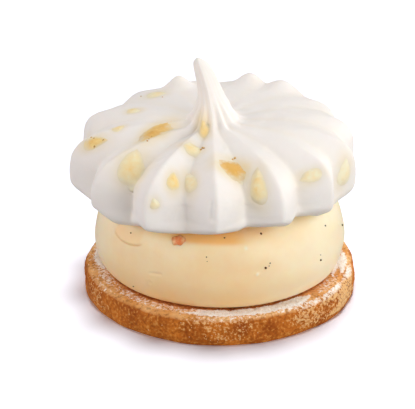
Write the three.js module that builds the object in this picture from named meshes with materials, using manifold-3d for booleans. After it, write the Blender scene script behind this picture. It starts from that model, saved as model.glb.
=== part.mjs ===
// A single-serving pavlova. A round shortbread biscuit carries a moulded puck of vanilla cream, and on the
// cream rests a meringue rosette, piped through an open star nozzle and drawn up to a leaning peak, with
// flaked almonds baked onto it.
// Millimetres and degrees, +Z up. The origin is the middle of the biscuit's flat underside, and a bearing
// is measured round Z from the front (-Y) towards the right (+X).

import * as THREE from "three";
import { mergeVertices } from "three/addons/utils/BufferGeometryUtils.js";
import Module from "manifold-3d";

// Shortbread biscuit
const BISCUIT_RADIUS = 38;
const BISCUIT_HEIGHT = 7.8;
const BISCUIT_FOOT_INSET = 1.3; // the lower edge is rounded by the baking ring
const BISCUIT_RIM_INSET = 0.9; // the upper edge is softer than a cut one
const CRAG_DEPTH = 0.35; // how far the rough side stands in and out
const CHIP_BEARING = 68;
const CHIP_SPREAD = 7; // half width of the chip in the rim, in degrees
const CHIP_DEPTH = 1.6;
const BISCUIT_COLUMNS = 88;

// Vanilla cream puck
const CREAM_RADIUS = 35;
const CREAM_HEIGHT = 23;
const CREAM_FOOT_RADIUS = 30.6;
const CREAM_TOP_RADIUS = 25;
const CREAM_BELLY_HEIGHT = 7.4; // height of the widest ring above the biscuit
const CREAM_COLUMNS = 64;
const CREAM_ROWS = 14;

// Meringue rosette, with its heights above the cream
const MERINGUE_ASIDE = -2.1; // it was set down a little left of the middle
const MERINGUE_RADIUS = 40.5; // to the crest of a rib at the widest ring
const MERINGUE_FOOT_RADIUS = 35.7;
const MERINGUE_BELLY_HEIGHT = 5.2; // height of the widest ring
const OVAL = 0.037; // share by which the rosette is longer along one bearing and shorter across it
const LONG_BEARING = 29.5;
const DOME_RISE = 14.4; // from the widest ring to the top of the dome, without the peak
const DOME_FULLNESS = 3.6; // exponent of the dome's outline, where 2 is an ellipse
const DOME_TILT = 2.9; // the top slopes by this angle, because the piping piled up on one side
const HIGH_BEARING = 100; // where it is highest
const TILT_HEIGHT = 10; // the slope begins at the foot and is complete at this height
const RIB_COUNT = 14;
const RIB_DEPTH = 7; // crest to groove at the widest ring
const RIB_DEEPENING = 1.8; // the power of the radius with which grooves deepen outwards
const SMOOTHEST_BEARING = 150; // on this side the ribs ran into each other
const SMOOTHEST_RIB_DEPTH = 2.2; // crest to groove there, at the widest ring
const SMOOTHEST_RIB_DEEPENING = 7; // the power there, so that only the ring has grooves
const FOOT_RIB_SHARE = 0.6; // at the foot, where the piping spread out, the grooves are shallower too
const RIB_CRISPNESS = 0.985; // 1 makes straight-sided ribs, lower values round them
const RIB_CROWDING = 9.2; // how far ribs are pushed from even spacing, so that some are wide and some narrow
const WIDEST_RIB_BEARING = -75.7;
const STAR_TURN = -8.1; // turns the whole star
const PEAK_HEIGHT = 38; // of the tip
const PEAK_FOOT_RADIUS = 7.5;
const PEAK_LEAN = 4.2; // the tip leans this far to the left of the rosette's middle
const LEAN_START = 18; // height where the lean begins
const LEAN_BEND = 2; // 1 makes a straight lean, higher values bend it more towards the tip
const COLUMNS_PER_RIB = 8;
const MERINGUE_ROWS = 30;

// The foot isn't level: some ribs sagged over the edge of the cream and others stayed above it. Places are
// counted in ribs from the front one, so halves are grooves, and the last one is the first one again.
const SAGS = [
  { rib: -3, drop: 2 },
  { rib: -2.5, drop: 2.8 },
  { rib: -2, drop: 0 },
  { rib: -1.8, drop: 2.4 },
  { rib: -1.5, drop: 1.8 },
  { rib: -1.2, drop: -0.2 },
  { rib: -0.5, drop: 0.2 },
  { rib: 0, drop: -1.8 },
  { rib: 0.4, drop: -1.5 },
  { rib: 0.6, drop: -2.4 },
  { rib: 1, drop: -2.5 },
  { rib: 1.25, drop: -1.2 },
  { rib: 1.4, drop: -2.6 },
  { rib: 1.8, drop: -1.9 },
  { rib: 2.5, drop: 1.4 },
  { rib: 2.7, drop: 0.2 },
  { rib: 4.5, drop: -0.4 },
  { rib: 6, drop: 1 },
  { rib: 7.5, drop: -0.6 },
  { rib: 9.5, drop: 0.6 },
  { rib: RIB_COUNT - 3, drop: 2 },
];
const SAG_HEIGHT = 10; // above this nothing sagged
const BED_RADIUS = 28; // inside this the underside lies flat on the cream

// Ends of ribs that stand up behind the dome. Their bearing and radius are those of the middle.
const LUMPS = [
  { bearing: -160, radius: 28.7, height: 3.6, spread: 3.4 },
  { bearing: 158, radius: 29, height: 3.5, spread: 3.8 },
  { bearing: 140, radius: 31, height: 2.6, spread: 4.6 },
];

// Flaked almonds, baked onto the rosette. Along is the place on its outline, 0 at the foot and 1 at the tip,
// and turn is the angle from the line up the slope to the flake's long axis.
const FLAKE_THICKNESS = 0.6;
const FLAKE_ROOT = 1.8; // how deep the meringue under a flake fills the groove that it bridges
const FRONT_FLAKES = [
  { bearing: -47.4, along: 0.366, length: 12.5, width: 7.5, turn: -27 },
  { bearing: -73.2, along: 0.571, length: 14.5, width: 5.2, turn: -40 },
  { bearing: 10.4, along: 0.421, length: 9.8, width: 7, turn: -54 },
  { bearing: 19.7, along: 0.295, length: 12.5, width: 5, turn: 11 },
  { bearing: -82.4, along: 0.326, length: 8, width: 4.5, turn: 16 },
  { bearing: -19.6, along: 0.346, length: 6.2, width: 3.8, turn: -15 },
  { bearing: -18.6, along: 0.703, length: 8, width: 3.1, turn: -19 },
  { bearing: -114.7, along: 0.468, length: 4.8, width: 3.2, turn: -8 },
  { bearing: -88.2, along: 0.436, length: 4.6, width: 3.2, turn: -50 },
  { bearing: -143, along: 0.44, length: 6, width: 5, turn: -52 },
  { bearing: -19.6, along: 0.558, length: 7.8, width: 4.8, turn: -66 },
  { bearing: -11.6, along: 0.367, length: 8, width: 4.3, turn: -28 },
  { bearing: 44.4, along: 0.261, length: 7, width: 3.8, turn: -75 },
  { bearing: 68.2, along: 0.164, length: 8.4, width: 4.6, turn: 13 },
  { bearing: -23.9, along: 0.202, length: 3.3, width: 2.9, turn: -7 },
];
const BACK_GROOVES = [5, 6, 7, 8, 9, 10]; // counted to the right from the front, each holds one drawn flake
const BACK_FLAKE_SEED = 41;

const CONTACT_GAP = 0.1; // between a piece and the one that it rests on

const wasm = await Module();
wasm.setup();

const radians = THREE.MathUtils.degToRad;
const { lerp, smoothstep } = THREE.MathUtils;

// Turns rows of profile points round Z. place(row, bearing) gives the point of one row at one bearing, and
// the first and last rows are single points on the axis.
function revolved(rows, columns, place) {
  const profile = Array.from({ length: rows + 1 }, (_, row) => new THREE.Vector2(0, row));
  const geometry = new THREE.LatheGeometry(profile, columns);
  const position = geometry.getAttribute("position");
  for (let column = 0; column <= columns; column++) {
    const bearing = (2 * Math.PI * (column % columns)) / columns;
    for (let row = 0; row <= rows; row++) {
      const point = place(row, bearing);
      position.setXYZ(column * (rows + 1) + row, point.x, point.y, point.z);
    }
  }
  return closed(geometry);
}

// Shares the vertices of a closed surface, so that its seam and poles have no gaps.
function closed(geometry) {
  geometry.deleteAttribute("normal");
  geometry.deleteAttribute("uv");
  return mergeVertices(geometry, 1e-4);
}

function polar(radius, bearing, height) {
  return new THREE.Vector3(radius * Math.sin(bearing), -radius * Math.cos(bearing), height);
}

// A smooth unevenness from -1 to 1 round the object, different for each seed.
function unevenness(bearing, height, seed) {
  return (
    0.45 * Math.sin(5 * bearing + 1.7 * seed + 0.21 * height) +
    0.33 * Math.sin(11 * bearing - 2.3 * seed - 0.55 * height) +
    0.22 * Math.sin(23 * bearing + 0.9 * seed + 0.9 * height)
  );
}

// Joins a list of closed geometries into one solid.
function fused(geometries) {
  const solids = geometries.map((geometry) => {
    const vertProperties = new Float32Array(geometry.getAttribute("position").array);
    const triVerts = new Uint32Array(geometry.index.array);
    return new wasm.Manifold(new wasm.Mesh({ numProp: 3, vertProperties, triVerts }));
  });
  const mesh = solids.reduce((whole, piece) => whole.add(piece)).getMesh();
  return new THREE.BufferGeometry()
    .setAttribute("position", new THREE.BufferAttribute(mesh.vertProperties, 3))
    .setIndex(new THREE.BufferAttribute(mesh.triVerts, 1));
}

// Biscuit: a flat disc with rounded edges, a craggy side and one chip in its rim
function biscuitGeometry() {
  const profile = [
    new THREE.Vector2(0, 0),
    new THREE.Vector2(BISCUIT_RADIUS - BISCUIT_FOOT_INSET, 0),
    new THREE.Vector2(BISCUIT_RADIUS - 0.3 * BISCUIT_FOOT_INSET, 0.14 * BISCUIT_HEIGHT),
    new THREE.Vector2(BISCUIT_RADIUS, 0.34 * BISCUIT_HEIGHT),
    new THREE.Vector2(BISCUIT_RADIUS, 0.6 * BISCUIT_HEIGHT),
    new THREE.Vector2(BISCUIT_RADIUS - 0.1 * BISCUIT_RIM_INSET, 0.82 * BISCUIT_HEIGHT),
    new THREE.Vector2(BISCUIT_RADIUS - 0.45 * BISCUIT_RIM_INSET, 0.94 * BISCUIT_HEIGHT),
    new THREE.Vector2(BISCUIT_RADIUS - BISCUIT_RIM_INSET, BISCUIT_HEIGHT),
    new THREE.Vector2(0, BISCUIT_HEIGHT),
  ];
  return revolved(profile.length - 1, BISCUIT_COLUMNS, (row, bearing) => {
    const { x: radius, y: height } = profile[row];
    if (radius === 0) return polar(0, 0, height);
    const raised = height / BISCUIT_HEIGHT;
    const away = Math.abs(THREE.MathUtils.radToDeg(bearing) - CHIP_BEARING) / CHIP_SPREAD;
    const chip = CHIP_DEPTH * raised ** 2 * (1 - smoothstep(away, 0, 1));
    const crag = CRAG_DEPTH * unevenness(bearing, height, 1);
    return polar(radius + crag - chip, bearing, height);
  });
}

// Cream: a puck with a round belly, as it leaves its mould, with a flat foot and a flat top
function creamGeometry() {
  const side = new THREE.SplineCurve([
    new THREE.Vector2(CREAM_FOOT_RADIUS, 0),
    new THREE.Vector2(CREAM_RADIUS - 1.4, 0.3 * CREAM_BELLY_HEIGHT),
    new THREE.Vector2(CREAM_RADIUS, CREAM_BELLY_HEIGHT),
    new THREE.Vector2(CREAM_RADIUS - 0.6, 0.55 * CREAM_HEIGHT),
    new THREE.Vector2(CREAM_RADIUS - 2, 0.76 * CREAM_HEIGHT),
    new THREE.Vector2(CREAM_RADIUS - 4.8, 0.92 * CREAM_HEIGHT),
    new THREE.Vector2(CREAM_TOP_RADIUS, CREAM_HEIGHT),
  ]);
  const profile = [
    new THREE.Vector2(0, 0),
    ...side.getSpacedPoints(CREAM_ROWS - 2),
    new THREE.Vector2(0, CREAM_HEIGHT),
  ];
  return revolved(CREAM_ROWS, CREAM_COLUMNS, (row, bearing) => {
    const { x: radius, y: height } = profile[row];
    return polar(radius, bearing, height);
  });
}

// The rosette's outline over the crest of a rib, from the foot over the dome to the tip of the peak
function domePoint(share) {
  const rise = DOME_RISE * (1 - share ** DOME_FULLNESS) ** (1 / DOME_FULLNESS);
  return new THREE.Vector2(MERINGUE_RADIUS * share, MERINGUE_BELLY_HEIGHT + rise);
}

function peakPoint(widthShare, heightShare) {
  const domeTop = MERINGUE_BELLY_HEIGHT + DOME_RISE;
  return new THREE.Vector2(PEAK_FOOT_RADIUS * widthShare, lerp(domeTop, PEAK_HEIGHT, heightShare));
}

const crestLine = new THREE.SplineCurve([
  new THREE.Vector2(MERINGUE_FOOT_RADIUS, 0),
  new THREE.Vector2(MERINGUE_RADIUS - 1.2, 0.45 * MERINGUE_BELLY_HEIGHT),
  domePoint(1),
  domePoint(0.985),
  domePoint(0.9),
  domePoint(0.74),
  domePoint(0.54),
  domePoint(0.35),
  peakPoint(1, 0.02),
  peakPoint(0.61, 0.3),
  peakPoint(0.47, 0.55),
  peakPoint(0.4, 0.75),
  peakPoint(0.28, 0.91),
  peakPoint(0, 1),
]);

function ribCrowding(bearing) {
  return radians(RIB_CROWDING) * Math.sin(bearing - radians(WIDEST_RIB_BEARING));
}

// Repeats a step that brings a value closer to where it stays.
function settled(start, step) {
  let value = start;
  for (let pass = 0; pass < 30; pass++) value = step(value);
  return value;
}

// The bearing of a place counted in ribs from the front one: whole numbers are crests and halves are grooves.
function ribBearing(count) {
  const even = radians(STAR_TURN) + (2 * Math.PI * count) / RIB_COUNT;
  return settled(even, (guess) => even + ribCrowding(guess));
}

// The rib wave's phase: whole turns are crests and half turns are grooves.
function ribPhase(bearing) {
  return RIB_COUNT * (bearing - radians(STAR_TURN) - ribCrowding(bearing));
}

// 1 on the crest of a rib and 0 in the groove between two ribs
function ribWave(bearing) {
  const wave = Math.cos(ribPhase(bearing));
  return 0.5 + (0.5 * Math.asin(RIB_CRISPNESS * wave)) / Math.asin(RIB_CRISPNESS);
}

// The distance from crest to groove at a bearing, where the crest has this radius and height
function ribDepth(radius, height, bearing) {
  const footShare = lerp(FOOT_RIB_SHARE, 1, smoothstep(height, 0, MERINGUE_BELLY_HEIGHT));
  const smoothness = 0.5 + 0.5 * Math.cos(bearing - radians(SMOOTHEST_BEARING));
  const ringDepth = lerp(RIB_DEPTH, SMOOTHEST_RIB_DEPTH, smoothness);
  const deepening = lerp(RIB_DEEPENING, SMOOTHEST_RIB_DEEPENING, smoothness);
  return ringDepth * footShare * (radius / MERINGUE_RADIUS) ** deepening;
}

// How far the foot sagged at a bearing
function sag(bearing) {
  const first = SAGS[0].rib;
  const counted = ribPhase(bearing) / (2 * Math.PI);
  const rib = first + THREE.MathUtils.euclideanModulo(counted - first, RIB_COUNT);
  const next = SAGS.findIndex((place) => place.rib > rib);
  const [from, to] = SAGS.slice(next - 1, next + 1);
  return THREE.MathUtils.mapLinear(rib, from.rib, to.rib, from.drop, to.drop);
}

// How far the lumps raise a point of the surface
function lumpRise(point) {
  const rises = LUMPS.map(({ bearing, radius, height, spread }) => {
    const middle = polar(radius, radians(bearing), point.z);
    return height * Math.exp(-((point.distanceTo(middle) / spread) ** 2));
  });
  return Math.max(...rises);
}

// A point of the rosette's surface: along is 0 at the foot and 1 at the tip.
function meringuePoint(along, bearing) {
  const crest = crestLine.getPointAt(along);
  const slope = crestLine.getTangentAt(along);
  const depth = ribDepth(crest.x, crest.y, bearing) * (1 - ribWave(bearing));
  const outward = new THREE.Vector2(slope.y, Math.max(0, -slope.x)).normalize();
  const swell = (OVAL * Math.cos(2 * (bearing - radians(LONG_BEARING))) * crest.x) / MERINGUE_RADIUS;
  const radius = Math.max(0, crest.x - depth * outward.x) * (1 + swell);
  const lean = PEAK_LEAN * Math.max(0, (crest.y - LEAN_START) / (PEAK_HEIGHT - LEAN_START)) ** LEAN_BEND;
  const point = polar(radius, bearing, crest.y - depth * outward.y);
  point.x -= lean;
  const towardsHighSide = point.dot(polar(1, radians(HIGH_BEARING), 0));
  point.z += Math.tan(radians(DOME_TILT)) * towardsHighSide * Math.min(1, crest.y / TILT_HEIGHT);
  point.z -= sag(bearing) * (1 - smoothstep(crest.y, 0, SAG_HEIGHT));
  point.z += lumpRise(point);
  return point;
}

function rosetteGeometry() {
  return revolved(MERINGUE_ROWS, RIB_COUNT * COLUMNS_PER_RIB, (row, turn) => {
    const bearing = ribBearing((turn * RIB_COUNT) / (2 * Math.PI));
    if (row < 2) return polar(row * BED_RADIUS, bearing, 0);
    return meringuePoint((row - 2) / (MERINGUE_ROWS - 2), bearing);
  });
}

// A flake's outline: blunt at one end and pointed at the other
function almondOutline(length, width) {
  const half = length / 2;
  const outline = new THREE.Shape();
  outline.moveTo(half, 0);
  outline.bezierCurveTo(0.3 * half, 0.62 * width, -half, 0.75 * width, -half, 0);
  outline.bezierCurveTo(-half, -0.75 * width, 0.3 * half, -0.62 * width, half, 0);
  return outline;
}

// Lays a flake on the ribs under its edges, as high as the rib under its middle needs.
function flakeGeometry({ bearing, along, length, width, turn }) {
  const radius = crestLine.getPointAt(along).x;
  const reach = (distance, angle) => {
    const up = (distance * Math.cos(radians(angle))) / crestLine.getLength();
    const right = distance * Math.sin(radians(angle));
    return meringuePoint(along + up, radians(bearing) + right / radius);
  };
  const edges = [
    reach(0.4 * length, turn),
    reach(-0.4 * length, turn),
    reach(0.4 * width, turn + 90),
    reach(-0.4 * width, turn + 90),
  ];
  const lengthwise = edges[0].clone().sub(edges[1]).normalize();
  const outward = edges[2].clone().sub(edges[3]).cross(lengthwise).normalize();
  const across = outward.clone().cross(lengthwise);
  const middle = edges.reduce((sum, edge) => sum.addScaledVector(edge, 0.25), new THREE.Vector3());
  const lift = Math.max(0, reach(0, 0).sub(middle).dot(outward));
  middle.addScaledVector(outward, lift - FLAKE_ROOT);
  const flake = new THREE.ExtrudeGeometry(almondOutline(length, width), {
    depth: FLAKE_ROOT + FLAKE_THICKNESS,
    bevelEnabled: false,
    curveSegments: 6,
  });
  flake.applyMatrix4(new THREE.Matrix4().makeBasis(lengthwise, across, outward).setPosition(middle));
  return closed(flake);
}

function backFlakes() {
  THREE.MathUtils.seededRandom(BACK_FLAKE_SEED);
  const draw = (low, high) => lerp(low, high, THREE.MathUtils.seededRandom());
  return BACK_GROOVES.map((groove) => ({
    bearing: THREE.MathUtils.radToDeg(ribBearing(groove + 0.5)) + draw(-2, 2),
    along: draw(0.12, 0.24),
    length: draw(6, 9),
    width: draw(4, 5.5),
    turn: draw(-25, 25),
  }));
}

function meringueGeometry() {
  const flakes = [...FRONT_FLAKES, ...backFlakes()];
  return fused([rosetteGeometry(), ...flakes.map(flakeGeometry)]);
}

function solid(name, geometry, colour, roughness) {
  const material = new THREE.MeshStandardMaterial({ color: colour, roughness, metalness: 0 });
  const mesh = new THREE.Mesh(geometry, material);
  mesh.name = name;
  return mesh;
}

const biscuit = solid("biscuit", biscuitGeometry(), "#b06a2c", 0.85);

const cream = solid("cream", creamGeometry(), "#f0d6a4", 0.45);
cream.position.z = BISCUIT_HEIGHT + CONTACT_GAP;

const meringue = solid("meringue", meringueGeometry(), "#f3eee6", 0.7);
meringue.position.set(MERINGUE_ASIDE, 0, cream.position.z + CREAM_HEIGHT + CONTACT_GAP);

const pavlova = new THREE.Group();
pavlova.add(biscuit, cream, meringue);

export default pavlova;
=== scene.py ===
# %% [markdown]
# # A pavlova for one
# Three things stand on each other here: a round shortbread biscuit, a moulded puck of vanilla cream, and a
# meringue rosette with flaked almonds baked onto it. The measured solids that are loaded first say where each
# of them is and how large it is. Everything below takes its place from them and adds what the eye sees: the
# soft ribs of the piping, the satin of the cream, the crumb of the biscuit and the sugar on its rim.

# %% Load the measured solids
import math

import bpy
import numpy as np
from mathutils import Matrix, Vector


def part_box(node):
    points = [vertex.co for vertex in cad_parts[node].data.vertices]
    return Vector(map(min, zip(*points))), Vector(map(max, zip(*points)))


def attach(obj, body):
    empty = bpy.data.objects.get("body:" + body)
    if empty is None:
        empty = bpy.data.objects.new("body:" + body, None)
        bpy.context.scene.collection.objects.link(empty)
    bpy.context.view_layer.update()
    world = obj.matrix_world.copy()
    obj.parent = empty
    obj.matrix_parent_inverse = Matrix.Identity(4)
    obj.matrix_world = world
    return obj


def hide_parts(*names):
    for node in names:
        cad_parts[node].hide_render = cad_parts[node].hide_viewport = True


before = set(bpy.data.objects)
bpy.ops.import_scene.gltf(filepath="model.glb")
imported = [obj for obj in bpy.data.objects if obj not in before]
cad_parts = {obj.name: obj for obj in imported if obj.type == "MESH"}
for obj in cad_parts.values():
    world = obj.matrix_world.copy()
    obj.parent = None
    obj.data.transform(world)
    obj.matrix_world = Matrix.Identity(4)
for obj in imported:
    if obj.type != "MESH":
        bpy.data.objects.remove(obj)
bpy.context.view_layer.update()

MM = 0.001
print("solids:", ", ".join(sorted(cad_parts)))

# %% [markdown]
# ## Helpers
# Shapes and finishes are both written as node trees, so one function adds a node, fills its settings and
# links its inputs. An input may be given as a plain value, as a socket, or as a whole node, which stands for
# its first output. Two more functions open and close a Geometry Nodes tree. The last ones make objects, write
# and read the numbers on their points, and run a tree on an object. Its result is kept as a plain mesh,
# because a finished piece should carry no live modifier.


# %% Colours and nodes
def linear(hex_colour):
    """The linear colour of an sRGB hex value such as "#f3eee6"."""
    shares = [int(hex_colour[place:place + 2], 16) / 255 for place in (1, 3, 5)]
    bent = [share / 12.92 if share <= 0.04045 else ((share + 0.055) / 1.055) ** 2.4 for share in shares]
    return (*bent, 1.0)


def add(tree, kind, inputs=None, **settings):
    """Adds one node with its settings, and gives its inputs values or links."""
    node = tree.nodes.new(kind)
    for name, value in settings.items():
        setattr(node, name, value)
    for key, value in (inputs or {}).items():
        if isinstance(value, bpy.types.Node):
            value = next(output for output in value.outputs if output.enabled)
        if isinstance(value, bpy.types.NodeSocket):
            tree.links.new(value, node.inputs[key])
        else:
            node.inputs[key].default_value = value
    return node


print("linear colour of a middle grey:", linear("#808080"))

# %% Opening and closing a tree
SOCKET_KINDS = {
    float: "NodeSocketFloat",
    int: "NodeSocketInt",
    bpy.types.Material: "NodeSocketMaterial",
    bpy.types.Object: "NodeSocketObject",
}


def open_tree(name, sizes):
    """A new Geometry Nodes tree with these named inputs, and the sockets that bring them in."""
    tree = bpy.data.node_groups.new(name, "GeometryNodeTree")
    for direction in ("INPUT", "OUTPUT"):
        tree.interface.new_socket("Geometry", in_out=direction, socket_type="NodeSocketGeometry")
    for label, value in sizes.items():
        tree.interface.new_socket(label, in_out="INPUT", socket_type=SOCKET_KINDS[type(value)])
    return tree, add(tree, "NodeGroupInput").outputs


def close_tree(tree, geometry, material):
    """Every tree ends alike: copies become real mesh, shaded smooth, and the mesh gets its material."""
    real = add(tree, "GeometryNodeRealizeInstances", {"Geometry": geometry})
    smooth = add(tree, "GeometryNodeSetShadeSmooth", {"Geometry": real, "Shade Smooth": True})
    finished = add(tree, "GeometryNodeSetMaterial", {"Geometry": smooth, "Material": material})
    add(tree, "NodeGroupOutput", {"Geometry": finished})


print("kinds of tree input:", len(SOCKET_KINDS))


# %% Plain meshes and the numbers on their points
def in_scene(name, data):
    """A new object in the scene that holds a mesh, a lamp or a camera."""
    thing = bpy.data.objects.new(name, data)
    bpy.context.collection.objects.link(thing)
    return thing


def mesh_object(name, points, edges=(), faces=()):
    """An object in the scene from points in metres."""
    mesh = bpy.data.meshes.new(name)
    mesh.from_pydata(np.asarray(points).tolist(), edges, faces)
    return in_scene(name, mesh)


def write_attribute(thing, name, values, kind="FLOAT"):
    """Gives every point of an object a number, or a vector, that trees and finishes can read."""
    field = "vector" if kind == "FLOAT_VECTOR" else "value"
    attribute = thing.data.attributes.new(name, kind, "POINT")
    attribute.data.foreach_set(field, np.asarray(values, dtype=np.float32).ravel())


def read_attribute(thing, name, kind="value", width=1):
    """The numbers or vectors that an object's points carry, as an array."""
    data = thing.data.attributes[name].data
    values = np.empty(len(data) * width, dtype=np.float32)
    data.foreach_get(kind, values)
    return values if width == 1 else values.reshape(-1, width)


def grown(name, base, tree, sizes):
    """Runs a tree on a base object and keeps the result as a plain mesh object."""
    modifier = base.modifiers.new(tree.name, "NODES")
    modifier.node_group = tree
    for socket in tree.interface.items_tree:
        if socket.in_out == "INPUT" and socket.name in sizes:
            modifier[socket.identifier] = sizes[socket.name]
    depsgraph = bpy.context.evaluated_depsgraph_get()
    mesh = bpy.data.meshes.new_from_object(base.evaluated_get(depsgraph), depsgraph=depsgraph)
    base.modifiers.remove(modifier)
    bpy.data.objects.remove(base)
    mesh.name = name
    triangles = sum(len(face.vertices) - 2 for face in mesh.polygons)
    print(f"{name}: {len(mesh.vertices)} points, {triangles} triangles")
    return in_scene(name, mesh)


# %% [markdown]
# ## The photograph's view
# A long lens far away flattens the perspective, as food photographers like it. The camera's height above the
# table follows from how open the biscuit's round rim looks. Its lens follows from the distance and from how
# many millimetres of the dessert one pixel of the picture covers.

# %% Camera
PICTURE_WIDTH = 415  # pixels
PIXEL = 0.2794 * MM  # what one pixel covers at the dessert
VIEW_DISTANCE = 700 * MM
VIEW_ELEVATION = math.radians(25)
TARGET = Vector((-3.5, 0, 24.5)) * MM

camera_data = bpy.data.cameras.new("camera")
camera_data.sensor_fit = "HORIZONTAL"
camera_data.lens = camera_data.sensor_width * VIEW_DISTANCE / (PIXEL * PICTURE_WIDTH)
camera = in_scene("camera", camera_data)
camera.location = TARGET + VIEW_DISTANCE * Vector((0, -math.cos(VIEW_ELEVATION), math.sin(VIEW_ELEVATION)))
camera.rotation_euler = (math.pi / 2 - VIEW_ELEVATION, 0, 0)
bpy.context.scene.camera = camera
print(f"lens {camera_data.lens:.0f} mm")

# %% [markdown]
# ## Light and table
# The picture is bright and almost without shadows: a white room lights everything evenly. Two large soft
# lamps stand low at the right, so the right faces of the ribs are brighter than the left ones. Two weaker
# lamps fill in from the left, and one from behind brightens the top. Their long shadows would grey the table,
# so light linking keeps them off it, and a light overhead is for the table alone: only a narrow shadow at the
# foot of the biscuit is left. The table throws no light back onto the dessert.

# %% Room
GLOW_START = -0.4  # height in the sky, where 1 is straight up, at which the floor's glow gives way
FLOOR_GLOW = 0.27  # light that comes up from below
CEILING_GLOW = 0.3  # light that comes straight down

bpy.context.scene.view_settings.view_transform = "Standard"
room = bpy.data.worlds.new("white room")
room.use_nodes = True
nodes = room.node_tree
sky = add(nodes, "ShaderNodeTexCoord").outputs["Generated"]
upward = add(nodes, "ShaderNodeSeparateXYZ", {0: sky}).outputs["Z"]
glow = add(nodes, "ShaderNodeMapRange", {0: upward, 1: GLOW_START, 2: 1.0, 3: FLOOR_GLOW, 4: CEILING_GLOW})
nodes.links.new(glow.outputs[0], nodes.nodes["Background"].inputs["Strength"])
nodes.nodes["Background"].inputs["Color"].default_value = linear("#ffffff")
bpy.context.scene.world = room
print("room glow:", FLOOR_GLOW, "to", CEILING_GLOW)

# %% Lamps
LAMP_DISTANCE = 0.8
DESSERT_LAMPS = [  # name, direction, width in metres, watts, colour
    ("window lamp", (0.84, 0.42, 0.28), 0.7, 2.6, "#fffdfa"),
    ("front lamp", (0.7, -0.7, 0.25), 0.7, 5.3, "#fffdfa"),
    ("left lamp", (-1, 0, 0.25), 0.6, 2.8, "#fff8f8"),
    ("fill lamp", (-0.7, -0.7, 0.25), 0.6, 1.4, "#fff8f6"),
    ("back lamp", (0.2, 0.5, 0.8), 0.35, 2.1, "#fffdfa"),
]
OVERHEAD_DIRECTION = (0.05, 0.15, 1)
OVERHEAD_STRENGTH = 2.1  # watts for each square metre
OVERHEAD_WIDTH = math.radians(22)  # a wide source, so the shadow's edge is soft


def lamp(name, kind, direction, energy):
    """A lamp that shines from that direction."""
    data = bpy.data.lights.new(name, kind)
    data.energy = energy
    thing = in_scene(name, data)
    thing.rotation_euler = Vector(direction).to_track_quat("Z", "Y").to_euler()
    return thing


dessert_lamps = []
for name, direction, width, watts, colour in DESSERT_LAMPS:
    soft = lamp(name, "AREA", direction, watts)
    soft.location = TARGET + LAMP_DISTANCE * Vector(direction).normalized()
    soft.data.size = width
    soft.data.color = linear(colour)[:3]
    dessert_lamps.append(soft)
table_lamp = lamp("overhead light", "SUN", OVERHEAD_DIRECTION, OVERHEAD_STRENGTH)
table_lamp.data.angle = OVERHEAD_WIDTH
print("lamps for the dessert:", len(dessert_lamps))

# %% Table
TABLE_SIZE = 4.0
TABLE_COLOUR = (1.2, 1.22, 1.34, 1.0)  # brighter than white, so that the overhead light leaves it white


def finish(name, values):
    """A material whose even values are set on its shader's own sockets."""
    material = bpy.data.materials.new(name)
    material.use_nodes = True
    shader = material.node_tree.nodes["Principled BSDF"]
    for label, value in values.items():
        shader.inputs[label].default_value = value
    return material, material.node_tree, shader.inputs


half = TABLE_SIZE / 2
corners = [(-half, -half, 0), (half, -half, 0), (half, half, 0), (-half, half, 0)]
table = mesh_object("table", corners, faces=[(0, 1, 2, 3)])
table_finish, _, _ = finish("white table", {
    "Base Color": TABLE_COLOUR,
    "Roughness": 0.9,
    "Specular IOR Level": 0.0,
})
table.data.materials.append(table_finish)
table.visible_diffuse = False
table.visible_glossy = False
for linked_lamps, state in ((dessert_lamps, "EXCLUDE"), ([table_lamp], "INCLUDE")):
    lit = bpy.data.collections.new("table " + state.lower())
    lit.objects.link(table)
    lit.collection_objects[0].light_linking.link_state = state
    for linked in linked_lamps:
        linked.light_linking.receiver_collection = lit
print("table", TABLE_SIZE, "m wide")

# %% [markdown]
# ## Patterns and coats
# Every finish below reads Object coordinates, which are metres on the piece itself. A noise pattern repeats
# about once for each unit of its scale, so a pattern with features of so many millimetres needs the scale
# that the first small function works out. The second makes a pattern with more contrast, and the third lays
# coats over each other, as a painter would, because food is rarely of one colour: each coat covers the share
# that a pattern or a number on the points gives.


# %% Patterns and coats of colour
def per(millimetres):
    """The scale of a pattern whose features are that many millimetres wide."""
    return 1 / (millimetres * MM)


def pattern(nodes, millimetres, low, high, detail=2.0, start=0.0, end=1.0):
    """A noise on the piece that goes from start to end while its own value goes from low to high."""
    place = add(nodes, "ShaderNodeTexCoord").outputs["Object"]
    noise = add(nodes, "ShaderNodeTexNoise", {"Vector": place, "Scale": per(millimetres), "Detail": detail})
    return add(nodes, "ShaderNodeMapRange", {0: noise, 1: low, 2: high, 3: start, 4: end})


def coats(nodes, colour, *layers):
    """A colour with layers over it, each given as the share that it covers and its own colour."""
    for share, layer in layers:
        under, over = [linear(one) if isinstance(one, str) else one for one in (colour, layer)]
        mixed = add(nodes, "ShaderNodeMix", {0: share, 6: under, 7: over}, data_type="RGBA")
        colour = mixed.outputs[2]
    return colour


print("scale for 2 mm features:", per(2))
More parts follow.
